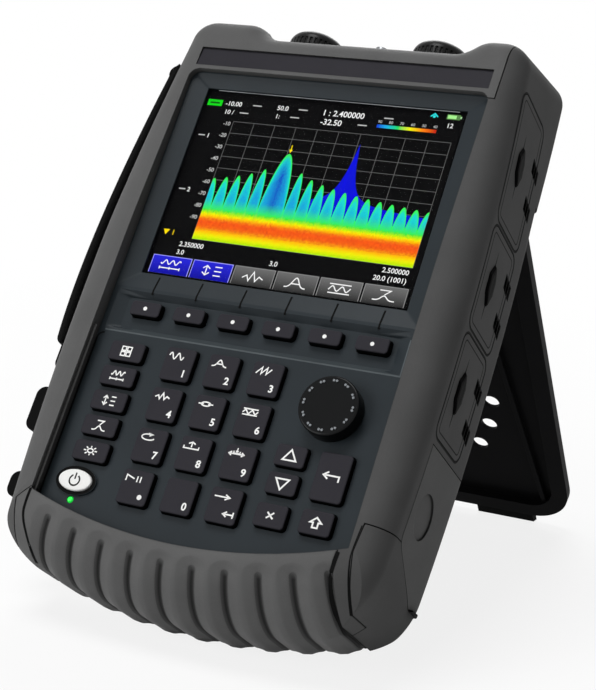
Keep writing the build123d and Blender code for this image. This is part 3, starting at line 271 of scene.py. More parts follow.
def metal(name, colour, rough=0.3, brushed=6.0):
    """Brushed metal."""
    mat, nt, shader = new_material(name)
    stretch = (brushed, brushed * 0.08, brushed)
    stretched = node(nt, "Mapping", {"Vector": face_coords(nt), "Scale": stretch}).outputs[0]
    lines = noise(nt, stretched, 1.0, 3.0)
    give(nt, shader, {"Base Color": mix(nt, lines, scaled(colour, 0.8), scaled(colour, 1.1)),
                      "Roughness": spread(nt, lines, 0.2, 0.8, rough - 0.1, rough + 0.1),
                      "Metallic": 1.0,
                      "Normal": bumped(nt, 0.02, lines, rounded_normal(nt, 0.2), 0.4)})
    return mat


def glass(name):
    """Coated display window: clear, with faint smears."""
    mat, nt, shader = new_material(name)
    smear = noise(nt, face_coords(nt), 0.06, 5.0, 0.65)
    give(nt, shader, {"Base Color": (1, 1, 1, 1), "Transmission Weight": 1.0, "IOR": 1.04,
                      "Roughness": spread(nt, smear, 0.35, 0.75, 0.02, 0.07)})
    return mat


def glow(name, attribute):
    """Lit picture: the colour of each point of the mesh, given off as light."""
    mat, nt, shader = new_material(name)
    tint = node(nt, "Attribute", attribute_name=attribute).outputs["Color"]
    give(nt, shader, {"Base Color": (0.003, 0.003, 0.003, 1), "Specular IOR Level": 0.0,
                      "Emission Color": tint, "Emission Strength": 1.0})
    return mat


def lit_plastic(name, colour, strength):
    """Translucent lamp lens with a hot middle."""
    mat, nt, shader = new_material(name)
    grain = noise(nt, face_coords(nt), 1.2, 2.0)
    give(nt, shader, {"Base Color": mix(nt, grain, scaled(colour, 0.8), scaled(colour, 1.1)),
                      "Emission Color": mix(nt, grain, scaled(colour, 0.9), scaled(colour, 1.0)),
                      "Emission Strength": strength, "Roughness": 0.25})
    return mat


def board(name, colour):
    """Printed board with copper runs under the mask."""
    mat, nt, shader = new_material(name)
    where = face_coords(nt)
    cells = node(nt, "TexVoronoi", {"Vector": where, "Scale": 0.22}, distance="MANHATTAN").outputs["Distance"]
    waves = {"Vector": where, "Scale": 0.5, "Distortion": 6.0, "Detail": 1.0}
    runs = node(nt, "TexWave", waves).outputs[1]
    tone = mix(nt, spread(nt, runs, 0.75, 0.85, 0.0, 0.5), colour, scaled(colour, 1.8))
    tone = mix(nt, spread(nt, cells, 0.12, 0.06, 0.0, 1.0), tone, srgb("b89b52"))
    give(nt, shader, {"Base Color": tone, "Roughness": 0.4})
    return mat


def woven(name, colour, pitch=0.55):
    """Narrow woven webbing: warp and weft crossing on the diagonal."""
    mat, nt, shader = new_material(name)
    where = face_coords(nt)
    turned = node(nt, "Mapping", {"Vector": where, "Rotation": (0.0, 0.0, math.radians(45))}).outputs[0]
    y, z = parts_of(nt, turned)[1:]
    warp, weft = [math_node(nt, "SINE", times(nt, math_node(nt, way, y, z), math.tau / pitch))
                  for way in ("ADD", "SUBTRACT")]
    cloth = times(nt, warp, weft)
    fuzz = noise(nt, where, 3.0, 3.0)
    tone = mix(nt, spread(nt, cloth, -0.8, 0.9, 0.0, 1.0), scaled(colour, 0.5), scaled(colour, 1.7))
    tone = mix(nt, spread(nt, fuzz, 0.55, 0.8, 0.0, 0.5), tone, scaled(colour, 3.0))
    give(nt, shader, {"Base Color": tone, "Roughness": spread(nt, fuzz, 0.2, 0.8, 0.75, 0.95),
                      "Specular IOR Level": 0.05, "Sheen Weight": 0.03, "Normal": bumped(nt, 0.12, cloth)})
    return mat


# Finishes.

INK = srgb("000000")
KEY_TOP = 3.0
SOFTKEY_TOP = 1.4
KNOB_TOP = 8.2
# PIT is what is sunk into the right side: the inlays' own black, and painted shade in the recesses.
PIT = srgb("060606")
KNOB_BODY = srgb("060708")
SKIRT = 0.3  # a key's sides take painted shade in black up to this far below its top
SOFT = dict(rough=0.6, grain=3.0, depth=0.035, edge=0.5, wear_and_highlight=0.1, crease_shade=0.75)
HARD = dict(grain=3.2, edge=0.5, wear_and_highlight=0.1)
# Keys' sides take INK below side_level: painted shade.
KEY = dict(rough=0.5, grain=4.5, depth=0.012, mottle=0.05, wear_and_highlight=0.15, sides=INK, specular=0.06)
PRINT = dict(rough=0.5, grain=6.0, depth=0.004, wear_and_highlight=0.0)
TRIM = dict(rough=0.45, grain=4.0, depth=0.01, wear_and_highlight=0.0)
MOULDED = {
    "soft_grey": ("595959", SOFT),
    "grip_grey": ("5f5f5f", dict(SOFT, lobes=1.2, soft=2.6)),
    # These two greys are the overmold's grey made darker, as painted shade, for the right side, the battery
    # door and the lip beside the left rail.
    "side_grey": ("4e4e4e", dict(HARD, crease_shade=0.75, recess=PIT, specular=0.02)),
    "side_plain_shaded": ("505050", dict(HARD, crease_shade=0.1)),
    # The panel's strong edge lightening is painted highlight, along the trough's crest among others.
    "panel_dark": ("262c30", dict(rough=0.4, grain=4.0, depth=0.02, wear_and_highlight=0.9, edge=0.45, specular=0.1)),
    "case_black": ("232425", dict(rough=0.5, grain=2.2, depth=0.04)),
    "stand_black": ("151516", dict(rough=0.4, grain=2.6, wear_and_highlight=0.5, specular=0.015)),
    "nameplate_dark": ("2a292e", dict(rough=0.5, grain=5.0, depth=0.008)),
    "key_dark": ("2c2b30", dict(KEY, side_level=KEY_TOP - SKIRT)),
    "softkey_dark": ("2c2b30", dict(KEY, side_level=SOFTKEY_TOP - SKIRT)),
    "key_white": ("f0f0ee", dict(rough=0.35, grain=4.0, depth=0.006, mottle=0.02, wear_and_highlight=0.0)),
    # The knob's pale stud tops are a painted glint over its black body.
    "knob_black": ("84888c", dict(rough=0.34, grain=3.0, depth=0.01, wear_and_highlight=0.6, sides=KNOB_BODY,
                                  side_level=KNOB_TOP + SKIRT, coat=0.12)),
    "cap_black": ("080808", dict(rough=0.3, grain=2.8, depth=0.01, wear_and_highlight=0.6, specular=0.12)),
    "foot_rubber": ("0e0e0e", dict(rough=0.8, grain=1.8, depth=0.05, specular=0.04)),
    "screen": ("030303", dict(rough=0.5, specular=0.02, wear_and_highlight=0.0)),
    "battery_grey": ("4a4d50", dict(rough=0.5)),
    "lug_black": ("090909", dict(grain=2.2, specular=0.03)),
    "plug_black": ("060606", dict(rough=0.4, grain=2.5, depth=0.004, wear_and_highlight=0.3, specular=0.008)),
    # Black for painted shade in gaps, seams, grooves and slots, and for black parts such as the gasket.
    "seam_black": ("0a0a0a", dict(rough=0.7, grain=3.0, depth=0.005, wear_and_highlight=0.0)),
    "socket_black": ("1a1a1a", dict(rough=0.6, specular=0.1)),
    "legend": ("f2f2f0", dict(PRINT, mottle=0.02)),
    "legend_black": ("0c0c0c", PRINT),
    # Paler panel tones: painted light on the trough's upward slope and a painted highlight along its crest.
    "slope": ("3a4043", dict(TRIM, mottle=0.12)),
    "ridge": ("52585b", dict(TRIM, mottle=0.2)),
    "edge_glint": ("b4b8ba", dict(rough=0.3, grain=5.0, depth=0.004, mottle=0.25, wear_and_highlight=0.0)),
    "thread": ("3a3a3a", dict(rough=0.7, grain=5.0, depth=0.01, wear_and_highlight=0.0, specular=0.08)),
}
finish = {name: moulded(name, srgb(colour), **how) for name, (colour, how) in MOULDED.items()}
finish.update({
    "lens": glass("lens"),
    "board_green": board("board_green", srgb("1d5a35")),
    "plated": metal("plated", srgb("85878a")),
    "steel": metal("steel", srgb("8d8f92"), 0.35),
    "strap_black": woven("strap_black", srgb("070707")),
    "led_green": lit_plastic("led_green", srgb("12c83a"), 0.9),
    "picture": glow("picture", "tint"),
})
BY_NODE = {
    "soft_grey": "overmold", "grip_grey": "bottom_grip", "side_plain_shaded": "battery_door_panel",
    "side_grey": "right_rail battery_door_corner port_door_upper port_door_middle port_door_lower",
    "nameplate_dark": "nameplate", "panel_dark": "front_panel", "lens": "display_lens",
    "screen": "lcd_module", "key_white": "power_key", "led_green": "status_led",
    "knob_black": "tuning_knob", "plated": "encoder rf_ports antenna_port",
    "foot_rubber": "keypad_mat kickstand_feet", "board_green": "keypad_board main_board",
    "case_black": "rear_case", "battery_grey": "battery_pack", "steel": "case_screws hinge_pins",
    "socket_black": "port_sockets", "cap_black": "dust_cap_left dust_cap_right",
    "stand_black": "kickstand", "strap_black": "hand_strap", "lug_black": "strap_lugs",
    "softkey_dark": "softkey_1 softkey_2 softkey_3 softkey_4 softkey_5 softkey_6",
}
FINISH_OF = {name: key for key, names in BY_NODE.items() for name in names.split()}
for name, obj in NODES.items():
    obj.data.materials.clear()
    obj.data.materials.append(finish[FINISH_OF.get(name, "key_dark")])

# Stage: camera, floor, lamps.

WORLD_LIGHT = 0.13
FLOOR_HALF = 6.0
FLOOR_TONES = ((0.84, 0.84, 0.84, 1), (0.88, 0.88, 0.88, 1))
FLOOR_FADE = (0.3, 0.9, 0.84, 1.0)  # from and to this far out, how white the floor is
LAMP_AIM = Vector((0, 0, 0.14))
LAMPS = {  # place, size and power
    "key": ((-0.3, -0.5, 2.3), 1.2, 33),
    "front": ((-1.4, -2.1, 0.92), 1.6, 30),
    "fill": ((1.6, -1.2, 0.9), 1.6, 0.6),
    "back": ((-0.6, 1.9, 1.5), 1.6, 26),
}


def in_scene(name, data):
    obj = bpy.data.objects.new(name, data)
    bpy.context.scene.collection.objects.link(obj)
    return obj


def make_camera():
    data = bpy.data.cameras.new("camera")
    data.sensor_width = SENSOR_MM
    data.lens = FOCAL_PX / IMAGE_LONG_PX * SENSOR_MM
    data.clip_start = 0.01
    data.clip_end = 50
    cam = in_scene("camera", data)
    axes = Matrix((CAMERA_RIGHT, [-c for c in CAMERA_DOWN], [-c for c in CAMERA_FORWARD])).transposed()
    cam.matrix_world = Matrix.Translation(FACE @ Vector(CAMERA_AT)) @ TURN @ axes.to_4x4()
    bpy.context.scene.camera = cam


def seen_directly(nt):
    """1 for what the camera sees, itself or in a mirror or through glass."""
    path = node(nt, "LightPath")
    mirrored = larger(nt, path.outputs["Is Glossy Ray"], path.outputs["Is Transmission Ray"])
    return larger(nt, path.outputs["Is Camera Ray"], mirrored)


def make_world():
    world = bpy.data.worlds.new("studio")
    bpy.context.scene.world = world
    world.use_nodes = True
    nt = world.node_tree
    nt.nodes.clear()
    soft = node(nt, "Background", {"Color": (1, 1, 1, 1), "Strength": WORLD_LIGHT})
    white = node(nt, "Background", {"Color": (1, 1, 1, 1), "Strength": 1.0})
    both = node(nt, "MixShader", {0: seen_directly(nt), 1: soft.outputs[0], 2: white.outputs[0]})
    node(nt, "OutputWorld", {0: both.outputs[0]})


def make_floor():
    k = FLOOR_HALF
    mesh = bpy.data.meshes.new("floor")
    mesh.from_pydata([(-k, -k, 0), (k, -k, 0), (k, k, 0), (-k, k, 0)], [], [(0, 1, 2, 3)])
    floor = in_scene("floor", mesh)
    mat = bpy.data.materials.new("floor")
    mat.use_nodes = True
    nt = mat.node_tree
    nt.nodes.clear()
    where = node(nt, "TexCoord").outputs["Object"]
    plain = node(nt, "BsdfDiffuse", {"Color": mix(nt, noise(nt, where, 40.0, 2.0), *FLOOR_TONES)})
    white = node(nt, "Emission", {"Color": (1, 1, 1, 1), "Strength": 1.0})
    away = node(nt, "VectorMath", {0: where}, operation="LENGTH").outputs["Value"]
    share = times(nt, seen_directly(nt), spread(nt, away, *FLOOR_FADE))
    both = node(nt, "MixShader", {0: share, 1: plain.outputs[0], 2: white.outputs[0]})
    node(nt, "OutputMaterial", {0: both.outputs[0]})
    mesh.materials.append(mat)


def make_lamp(name, at, size, watts):
    data = bpy.data.lights.new(name, "AREA")
    data.shape = "DISK"
    data.size = size
    data.energy = watts
    obj = in_scene(name, data)
    obj.location = at
    obj.rotation_euler = (LAMP_AIM - Vector(at)).to_track_quat("-Z", "Y").to_euler()


bpy.context.scene.view_settings.view_transform = "Standard"
make_camera()
make_world()
make_floor()
for name, how in LAMPS.items():
    make_lamp(name, *how)

# Flat artwork in the face's axes.

CAPITAL = 0.729  # height of a capital in the plain font


class Sheet:
    """Flat shapes in the face's axes, in mm, each point with its own colour."""

    def __init__(self):
        self.verts, self.faces, self.tints = [], [], []

    def add(self, points, faces, tints=INK):
        base = len(self.verts)
        self.verts += [tuple(p) for p in points]
        self.faces += [tuple(base + i for i in f) for f in faces]
        self.tints += tints if isinstance(tints, list) else [tints] * len(points)

    def polygon(self, points, w, tint):
        self.add([(u, v, w) for u, v in points], [tuple(range(len(points)))], tint)

    def box(self, u0, v0, u1, v1, w, low_tint, high_tint=None):
        high_tint = high_tint or low_tint
        points = [(u0, v0, w), (u1, v0, w), (u1, v1, w), (u0, v1, w)]
        self.add(points, [(0, 1, 2, 3)], [low_tint, low_tint, high_tint, high_tint])

    def stroke(self, points, width, w, tint, closed=False):
        """A line of even width with mitred corners."""
        pts = [Vector(p) for p in points]
        n = len(pts)
        sides = []
        for i, p in enumerate(pts):
            a = (p - pts[i - 1]).normalized() if i or closed else None
            b = (pts[(i + 1) % n] - p).normalized() if i < n - 1 or closed else a
            a = b if a is None else a
            across = Vector((-(a + b).y, (a + b).x))
            across = across.normalized() if across.length > 1e-6 else Vector((-a.y, a.x))
            lean = max(0.4, across.dot(Vector((-a.y, a.x))))
            sides += [p + across * width / 2 / lean, p - across * width / 2 / lean]
        faces = [(2 * i, 2 * i + 1, 2 * i + 3, 2 * i + 2) for i in range(n - 1)]
        if closed:
            faces.append((2 * n - 2, 2 * n - 1, 1, 0))
        self.add([(q.x, q.y, w) for q in sides], faces, tint)

    def rings(self, rings, filled=False):
        """Closed rings of points joined in turn, and the last one filled."""
        n = len(rings[0])
        faces = [(k * n + i, k * n + (i + 1) % n, (k + 1) * n + (i + 1) % n, (k + 1) * n + i)
                 for k in range(len(rings) - 1) for i in range(n)]
        if filled:
            faces.append(tuple((len(rings) - 1) * n + i for i in range(n)))
        self.add([p for ring in rings for p in ring], faces)

    def disc(self, u, v, r, w, tint, count=28):
        ring = [(u + r * math.cos(math.tau * i / count), v + r * math.sin(math.tau * i / count))
                for i in range(count)]
        self.polygon(ring, w, tint)

    def text(self, body, u, v, height, w, tint, align="LEFT", bold=0.0):
        """Digits and signs whose capital height is given; u, v is the baseline's end or middle."""
        data = bpy.data.curves.new("text", "FONT")
        data.body = body
        data.align_x = align
        data.resolution_u = 4
        data.offset = bold
        obj = bpy.data.objects.new("text", data)
        mesh = obj.to_mesh()
        k = height / CAPITAL
        points = [(u + p.co.x * k, v + p.co.y * k, w) for p in mesh.vertices]
        self.add(points, [tuple(f.vertices) for f in mesh.polygons], tint)
        obj.to_mesh_clear()
        bpy.data.objects.remove(obj)
        bpy.data.curves.remove(data)

    def piece(self, name, material, body, slot=None):
        mesh = bpy.data.meshes.new(name)
        mesh.from_pydata(self.verts, [], self.faces)
        tint = mesh.color_attributes.new("tint", "FLOAT_COLOR", "POINT")
        for i, colour in enumerate(self.tints):
            tint.data[i].color = colour
        mesh.transform(FACE)
        obj = in_scene(name, mesh)
        mesh.materials.append(finish[material])
        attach(obj, body)
        return obj

    def dark(self, name, body=HOUSING):
        """A black piece: painted shade in gaps, seams, grooves and slots, and black parts such as the gasket.
        """
        self.piece(name, "seam_black", body, "socket_black")


# Display.

GLASS_BACK = -4.6
PICTURE_W = GLASS_BACK + 0.12
WHITE = srgb("f4f4f4")
LAYER = 0.03
PLOT_U = (-48.2, 61.6)
PLOT_V = (-28.4, 34.2)
MAIN_PEAK = (-14.0, 20.2)
LOBE_PITCH = 6.0
LOBE_WIDE = LOBE_PITCH * 1.08  # half of the main lobe
LOBE_FOOT = -11.5
BAND_TOP = -12.6  # the noise lies below this height
SECOND_PEAK = 19.0
SECOND_START, SECOND_FOOT = 4.0, -12.0
GRID_WIDE = 0.22
BOLD = 0.012


def blend_stops(run, t):
    for (t0, c0), (t1, c1) in zip(run, run[1:]):
        if t <= t1:
            return lerp(c0, c1, (t - t0) / (t1 - t0))
    return run[-1][1]


def envelope(u):
    """Height of the pulsed signal's spectrum: a main lobe, then side lobes that fall away."""
    off = abs(u - MAIN_PEAK[0])
    if off < LOBE_WIDE:
        return LOBE_FOOT + (MAIN_PEAK[1] - LOBE_FOOT) * math.cos(off / LOBE_WIDE * math.pi / 2) ** 0.62
    top = 11.9 - 5.8 * math.log(max(off, 8.1) / 8.1)
    phase = (off - LOBE_WIDE) / LOBE_PITCH
    return LOBE_FOOT + (top - LOBE_FOOT) * abs(math.sin(phase * math.pi)) ** 0.7


def second_peak(u):
    off = abs(u - SECOND_PEAK)
    return -5.0 + 8.0 * math.exp(-off / 18.0) + 26.5 * math.exp(-off / 3.0)


def stops(*pairs):
    return [(at, srgb(colour)) for at, colour in pairs]


BAND = stops((-28.4, "a8e800"), (-26.0, "f0f000"), (-23.8, "ffc000"), (-21.5, "ff6a10"), (-18.5, "ff5a14"),
             (-16.6, "ffa800"), (-15.2, "ffee00"), (-14.2, "b0f000"), (-12.6, "20e040"))
POWER_BAR = stops((0.0, "1010d0"), (0.16, "18b0e8"), (0.36, "20d860"), (0.56, "f0f000"), (0.78, "ff8010"),
                  (1.0, "c01010"))
DEEP_RED = srgb("d83010")
LOBE_EDGE = srgb("38f050")
LOBE_FILL = srgb("18d8d0")
LOBE_CORE = srgb("1478e0")
LOBE_HEART = srgb("1040c0")


def lerp(a, b, k):
    k = max(0.0, min(1.0, k))
    return tuple(x + (y - x) * k for x, y in zip(a, b))


def heat(u, v, top, draw):
    """Colour of one point of the persistence plot."""
    if v < BAND_TOP:
        tint = blend_stops(BAND, v + draw.uniform(-0.7, 0.7))
        if -23.5 < v < -16.8:
            tint = lerp(tint, DEEP_RED, draw.random() ** 2 * 0.8)
        return tint
    depth = top - v
    off = abs(u - MAIN_PEAK[0])
    tint = lerp(LOBE_EDGE, LOBE_FILL, (depth - 0.7) / 2.6 + draw.uniform(-0.15, 0.15))
    core = (depth - 4.0) / 9.0 * (1.0 if off > LOBE_PITCH else 1.35)
    tint = lerp(tint, LOBE_CORE, min(0.55, core * 0.5) + draw.uniform(-0.12, 0.25) * (core > 0.15))
    if off < 4.2:
        tint = lerp(tint, LOBE_HEART, (1 - off / 4.2) * min(1.0, depth / 12) * draw.uniform(0.5, 1.1))
    return lerp(LOBE_EDGE, tint, (v - BAND_TOP) / 6.0 + draw.uniform(-0.1, 0.1))


def draw_plot(art):
    draw = random.Random(11)
    columns, rows = 440, 64
    u0, u1 = PLOT_U
    v0, v1 = PLOT_V
    grid = srgb("6e6e6e")
    for i in range(11):
        u = u0 + (u1 - u0) * i / 10
        art.stroke([(u, v0), (u, v1)], GRID_WIDE, PICTURE_W + LAYER, grid)
    for i in range(11):
        v = v0 + (v1 - v0) * i / 10
        art.stroke([(u0, v), (u1, v)], GRID_WIDE, PICTURE_W + LAYER, grid)
    blue = []
    steps = 199
    for i in range(steps + 1):
        u = SECOND_START + (u1 - SECOND_START) * i / steps
        blue += [(u, v, PICTURE_W + 2 * LAYER) for v in (SECOND_FOOT, second_peak(u))]
    faces = [(2 * i, 2 * i + 2, 2 * i + 3, 2 * i + 1) for i in range(steps)]
    art.add(blue, faces, [lerp(srgb("0000e8"), srgb("1020a0"), draw.random() * 0.5) for _ in blue])
    points, tints = [], []
    for i in range(columns):
        u = u0 + (u1 - u0) * i / (columns - 1)
        top = envelope(u)
        for j in range(rows):
            v = v0 + (top - v0) * j / (rows - 1)
            points.append((u, v, PICTURE_W + 3 * LAYER))
            tints.append(heat(u, v, top, draw))
    starts = [i * rows + j for i in range(columns - 1) for j in range(rows - 1)]
    art.add(points, [(a, a + rows, a + rows + 1, a + 1) for a in starts], tints)


READOUTS = (("-10.00", -55.6, 42.4, 2.5), ("10 /", -54.8, 37.9, 2.4), ("50.0", -28.2, 42.5, 2.5),
            ("1:", -27.8, 38.1, 2.4), ("1 : 2.400000", -4.6, 42.0, 3.1), ("-32.50", -4.2, 37.2, 3.1),
            ("2.350000", -53.6, -32.9, 2.5), ("3.0", -53.6, -37.0, 2.4), ("3.0", -5.8, -36.6, 2.5))


def draw_readouts(art):
    w = PICTURE_W + 4 * LAYER
    white, pale, yellow, cyan = (srgb(c) for c in ("f2f2f2", "c8c8c8", "ffe000", "30e0e0"))
    art.box(-65.2, 41.7, -57.4, 45.0, w, srgb("10d818"))
    art.stroke([(-63.8, 43.3), (-58.8, 43.3)], 0.9, w + LAYER, srgb("0a5a10"))
    for body, u, v, size in READOUTS:
        art.text(body, u, v, size, w, white, bold=BOLD)
    for body, v in (("2.500000", -32.2), ("20.0 (1001)", -36.3)):
        art.text(body, 60.8, v, 2.5, w, white, "RIGHT", BOLD)
    for u, v in ((-41.0, 43.6), (-46.6, 39.1), (-17.0, 43.7), (-20.0, 39.3), (26.4, 43.5), (14.6, 38.7)):
        art.stroke([(u, v), (u + 4.6, v)], 0.55, w, pale)
    for i in range(9):
        v = PLOT_V[1] - (PLOT_V[1] - PLOT_V[0]) * i / 10
        art.text(f"-{10 * i + 10}", -49.4, v - 2.4, 2.1, w, pale, "RIGHT", 0.01)
    for v, body in ((24.4, "1"), (-4.8, "2")):
        art.stroke([(-64.0, v + 1.1), (-60.6, v + 1.1)], 0.6, w, pale)
        art.text(body, -59.6, v, 2.4, w, white, bold=BOLD)
    art.polygon([(-64.2, -25.2), (-60.8, -25.2), (-62.5, -28.0)], w, yellow)
    art.text("1", -59.6, -27.7, 2.6, w, yellow, bold=BOLD)
    u, v = MAIN_PEAK
    art.polygon([(u - 0.9, v + 2.3), (u + 0.9, v + 2.3), (u, v + 0.5)], w, yellow)
    art.stroke([(u, v + 2.2), (u, v + 4.6)], 0.45, w, yellow)
    steps = 24
    for i in range(steps):
        a, b = 24.0 + 29.0 * i / steps, 24.0 + 29.0 * (i + 1) / steps
        art.box(a, 38.3, b, 40.0, w, blend_stops(POWER_BAR, (i + 0.5) / steps))
    for i in range(6):
        art.text(str(90 - 10 * i), 25.0 + 5.4 * i, 40.8, 1.5, w, pale, "CENTER")
    art.box(56.0, 45.9, 62.4, 48.5, w, srgb("5a8a4a"))
    art.box(56.4, 46.3, 60.6, 48.1, w + LAYER, srgb("a8f090"))
    art.box(62.4, 46.6, 63.1, 47.8, w, srgb("a8d8a0"))
    art.stroke([(48.2, 46.6), (50.0, 48.2), (51.8, 46.6)], 0.6, w, cyan)
    art.disc(50.0, 46.7, 0.7, w, cyan)
    art.text("12", 57.0, 41.6, 2.4, w, white, bold=BOLD)


BOX_LEFT = -64.5
BOX_PITCH = 21.4
BOX_WIDE = 20.5
BOX_V = (-47.6, -38.5)


def draw_boxes(art):
    w = PICTURE_W + 4 * LAYER
    for i in range(6):
        u0 = BOX_LEFT + BOX_PITCH * i
        u1 = u0 + BOX_WIDE
        low, high = (srgb("0c0c9c"), srgb("2424d8")) if i < 2 else (srgb("2c2c2c"), srgb("6c6c6c"))
        edge = srgb("a8a8ff") if i < 2 else srgb("8c8c8c")
        art.box(u0, BOX_V[0], u1, BOX_V[1], w, edge)
        art.box(u0 + 0.35, BOX_V[0], u1 - 0.35, BOX_V[1] - 0.35, w + LAYER, low, high)
        at = (u0 + u1) / 2, sum(BOX_V) / 2
        draw_icon(art, BOX_ICONS[i], *at, 5.2, 2.4, w + 2 * LAYER, WHITE, 0.55)


# Signs for keys and labels, in a box from -1 to 1 each way: a list of lines, or of filled shapes.


def curve(f, t0=-1.0, t1=1.0, count=21):
    return [f(t0 + (t1 - t0) * i / (count - 1)) for i in range(count)]


def ring_at(x, y, r, degrees):
    a = math.radians(degrees)
    return x + r * math.cos(a), y + r * math.sin(a)


def arc(a0, a1, r=1.0, count=17):
    return curve(lambda a: ring_at(0.0, 0.0, r, a), a0, a1, count)


TRAY = [(-1, -0.2), (-1, -1), (1, -1), (1, -0.2)]


def square(u, v):
    return [(u, v), (u + 0.85, v), (u + 0.85, v + 0.85), (u, v + 0.85)]


ICONS = {
    "sine": [curve(lambda t: (t, math.sin(t * math.tau)))],
    "bell": [curve(lambda t: (t, 2 * math.exp(-6 * t * t) - 1)), [(-0.45, -0.25), (0.45, -0.25)]],
    "saw": [[(-1, -1), (-0.3, 1), (-0.3, -1), (0.4, 1), (0.4, -1), (1, 0.7)]],
    "zigzag": [[(-1, -0.4), (-0.6, 0.2), (-0.35, -0.9), (0, 1), (0.3, -0.9), (0.6, 0.1), (1, -0.4)]],
    "target": [arc(0, 360, 0.62), [(-1, 0), (-0.3, 0)], [(0.3, 0), (1, 0)]],
    "limits": [[(-1, 0.9), (1, 0.9)], curve(lambda t: (t, 0.5 * math.sin(t * 7))), [(-1, -0.9), (1, -0.9)]],
    "again": [arc(60, 340, 0.9), [(0.1, 0.35), (0.5, 0.85), (-0.1, 1.15)]],
    "out": [TRAY, [(0, -0.6), (0, 1)], [(-0.45, 0.45), (0, 1), (0.45, 0.45)]],
    "into": [TRAY, [(0, 1), (0, -0.6)], [(-0.45, -0.1), (0, -0.6), (0.45, -0.1)]],
    "both_ways": [[(-1, 0), (1, 0)], [(-0.65, 0.6), (-1, 0), (-0.65, -0.6)],
                  [(0.65, 0.6), (1, 0), (0.65, -0.6)]],
    "right": [[(-1, 0), (0.9, 0)], [(0.4, 0.75), (1, 0), (0.4, -0.75)]],
    "return": [[(0.95, 0.9), (0.95, -0.9)], [(0.8, 0), (-0.9, 0)], [(-0.3, 0.75), (-1, 0), (-0.3, -0.75)]],
    "up": [[(-1, -0.8), (1, -0.8), (0, 1)]],
    "down": [[(-1, 0.8), (1, 0.8), (0, -1)]],
    "left": [[(1, -0.7), (1, 0.3), (-0.9, 0.3)], [(-0.4, 0.95), (-1, 0.3), (-0.4, -0.35)]],
    "cross": [[(-0.7, -0.8), (0.7, 0.8)], [(-0.7, 0.8), (0.7, -0.8)]],
    "shift": [[(-0.45, -1), (0.45, -1), (0.45, 0), (1, 0), (0, 1), (-1, 0), (-0.45, 0)]],
    "squares": [square(-1, 0.15), square(0.15, 0.15), square(-1, -1), square(0.15, -1)],
    "ruler": [curve(lambda t: (t, 0.55 + 0.45 * math.sin(t * 9))), [(-1, -0.7), (1, -0.7)],
              *[[(x, -1), (x, -0.4)] for x in (-1, 0, 1)]],
    "height": [[(-0.5, -0.9), (-0.5, 0.9)], [(-0.85, 0.4), (-0.5, 1), (-0.15, 0.4)],
               [(-0.85, -0.4), (-0.5, -1), (-0.15, -0.4)], *[[(0.3, y), (1, y)] for y in (0.9, 0, -0.9)]],
    "marker": [[(-0.5, 1), (0.5, 1), (0, 0.1)], curve(lambda t: (t, 0.9 * math.exp(-8 * t * t) - 1))],
    "gear": [arc(0, 360, 0.42), *[[(0.62 * math.cos(a), 0.62 * math.sin(a)), (math.cos(a), math.sin(a))]
                                  for a in [math.tau * i / 8 for i in range(8)]]],
    "play": [[(-1, -0.9), (-1, 0.9), (0.1, 0)], [(0.5, -0.9), (0.5, 0.9)], [(0.95, -0.9), (0.95, 0.9)]],
}
CLOSED = {"up", "down", "shift", "squares"}
BOX_ICONS = ["ruler", "height", "zigzag", "bell", "limits", "marker"]


def draw_icon(art, name, u, v, half_u, half_v, w, tint, width):
    for line in ICONS[name]:
        points = [(u + x * half_u, v + y * half_v) for x, y in line]
        art.stroke(points, width, w, tint, closed=name in CLOSED)


def make_picture():
    art = Sheet()
    art.box(-67.0, -50.4, 67.0, 50.4, PICTURE_W, srgb("020203"))
    draw_plot(art)
    draw_readouts(art)
    draw_boxes(art)
    art.piece("screen_picture", "picture", HOUSING)


make_picture()

# Legends.

LEGEND_UP = 0.05
PAD_LEFT, PAD_PITCH_U, PAD_WIDE = -36.3, 21.66, 14.7
PAD_BOTTOM, PAD_PITCH_V, PAD_HIGH = -100.2, 19.39, 15.6
PAD = {"1": "sine", "2": "bell", "3": "saw", "4": "zigzag", "5": "target", "6": "limits", "7": "again",
       "8": "out", "9": "both_ways", "point": "play", "0": None, "enter": "right"}
FUNCTION_LEFT, FUNCTION_WIDE = -64.8, 17.4
FUNCTION_BOTTOM, FUNCTION_PITCH, FUNCTION_HIGH = -95.0, 12.03, 9.2
FUNCTION_ICONS = ["squares", "ruler", "height", "marker", "gear"]
RIGHT_KEYS = {"key_up": (36.85, -123.8, "up", 3.1, 2.6), "key_down": (36.85, -136.35, "down", 3.1, 2.6),
              "key_esc": (36.35, -150.6, "cross", 2.2, 1.7), "key_back": (57.45, -129.7, "left", 3.6, 2.4),
              "key_shift": (57.0, -149.7, "shift", 2.6, 2.2)}
SOFTKEY_LEFT, SOFTKEY_PITCH, SOFTKEY_V = -55.4, 22.4, -68.2
POWER, POWER_TOP = (-59.2, -152.4), 2.2


def legend(art, key):
    art.piece("legend_" + key, "legend", key, "key_white")


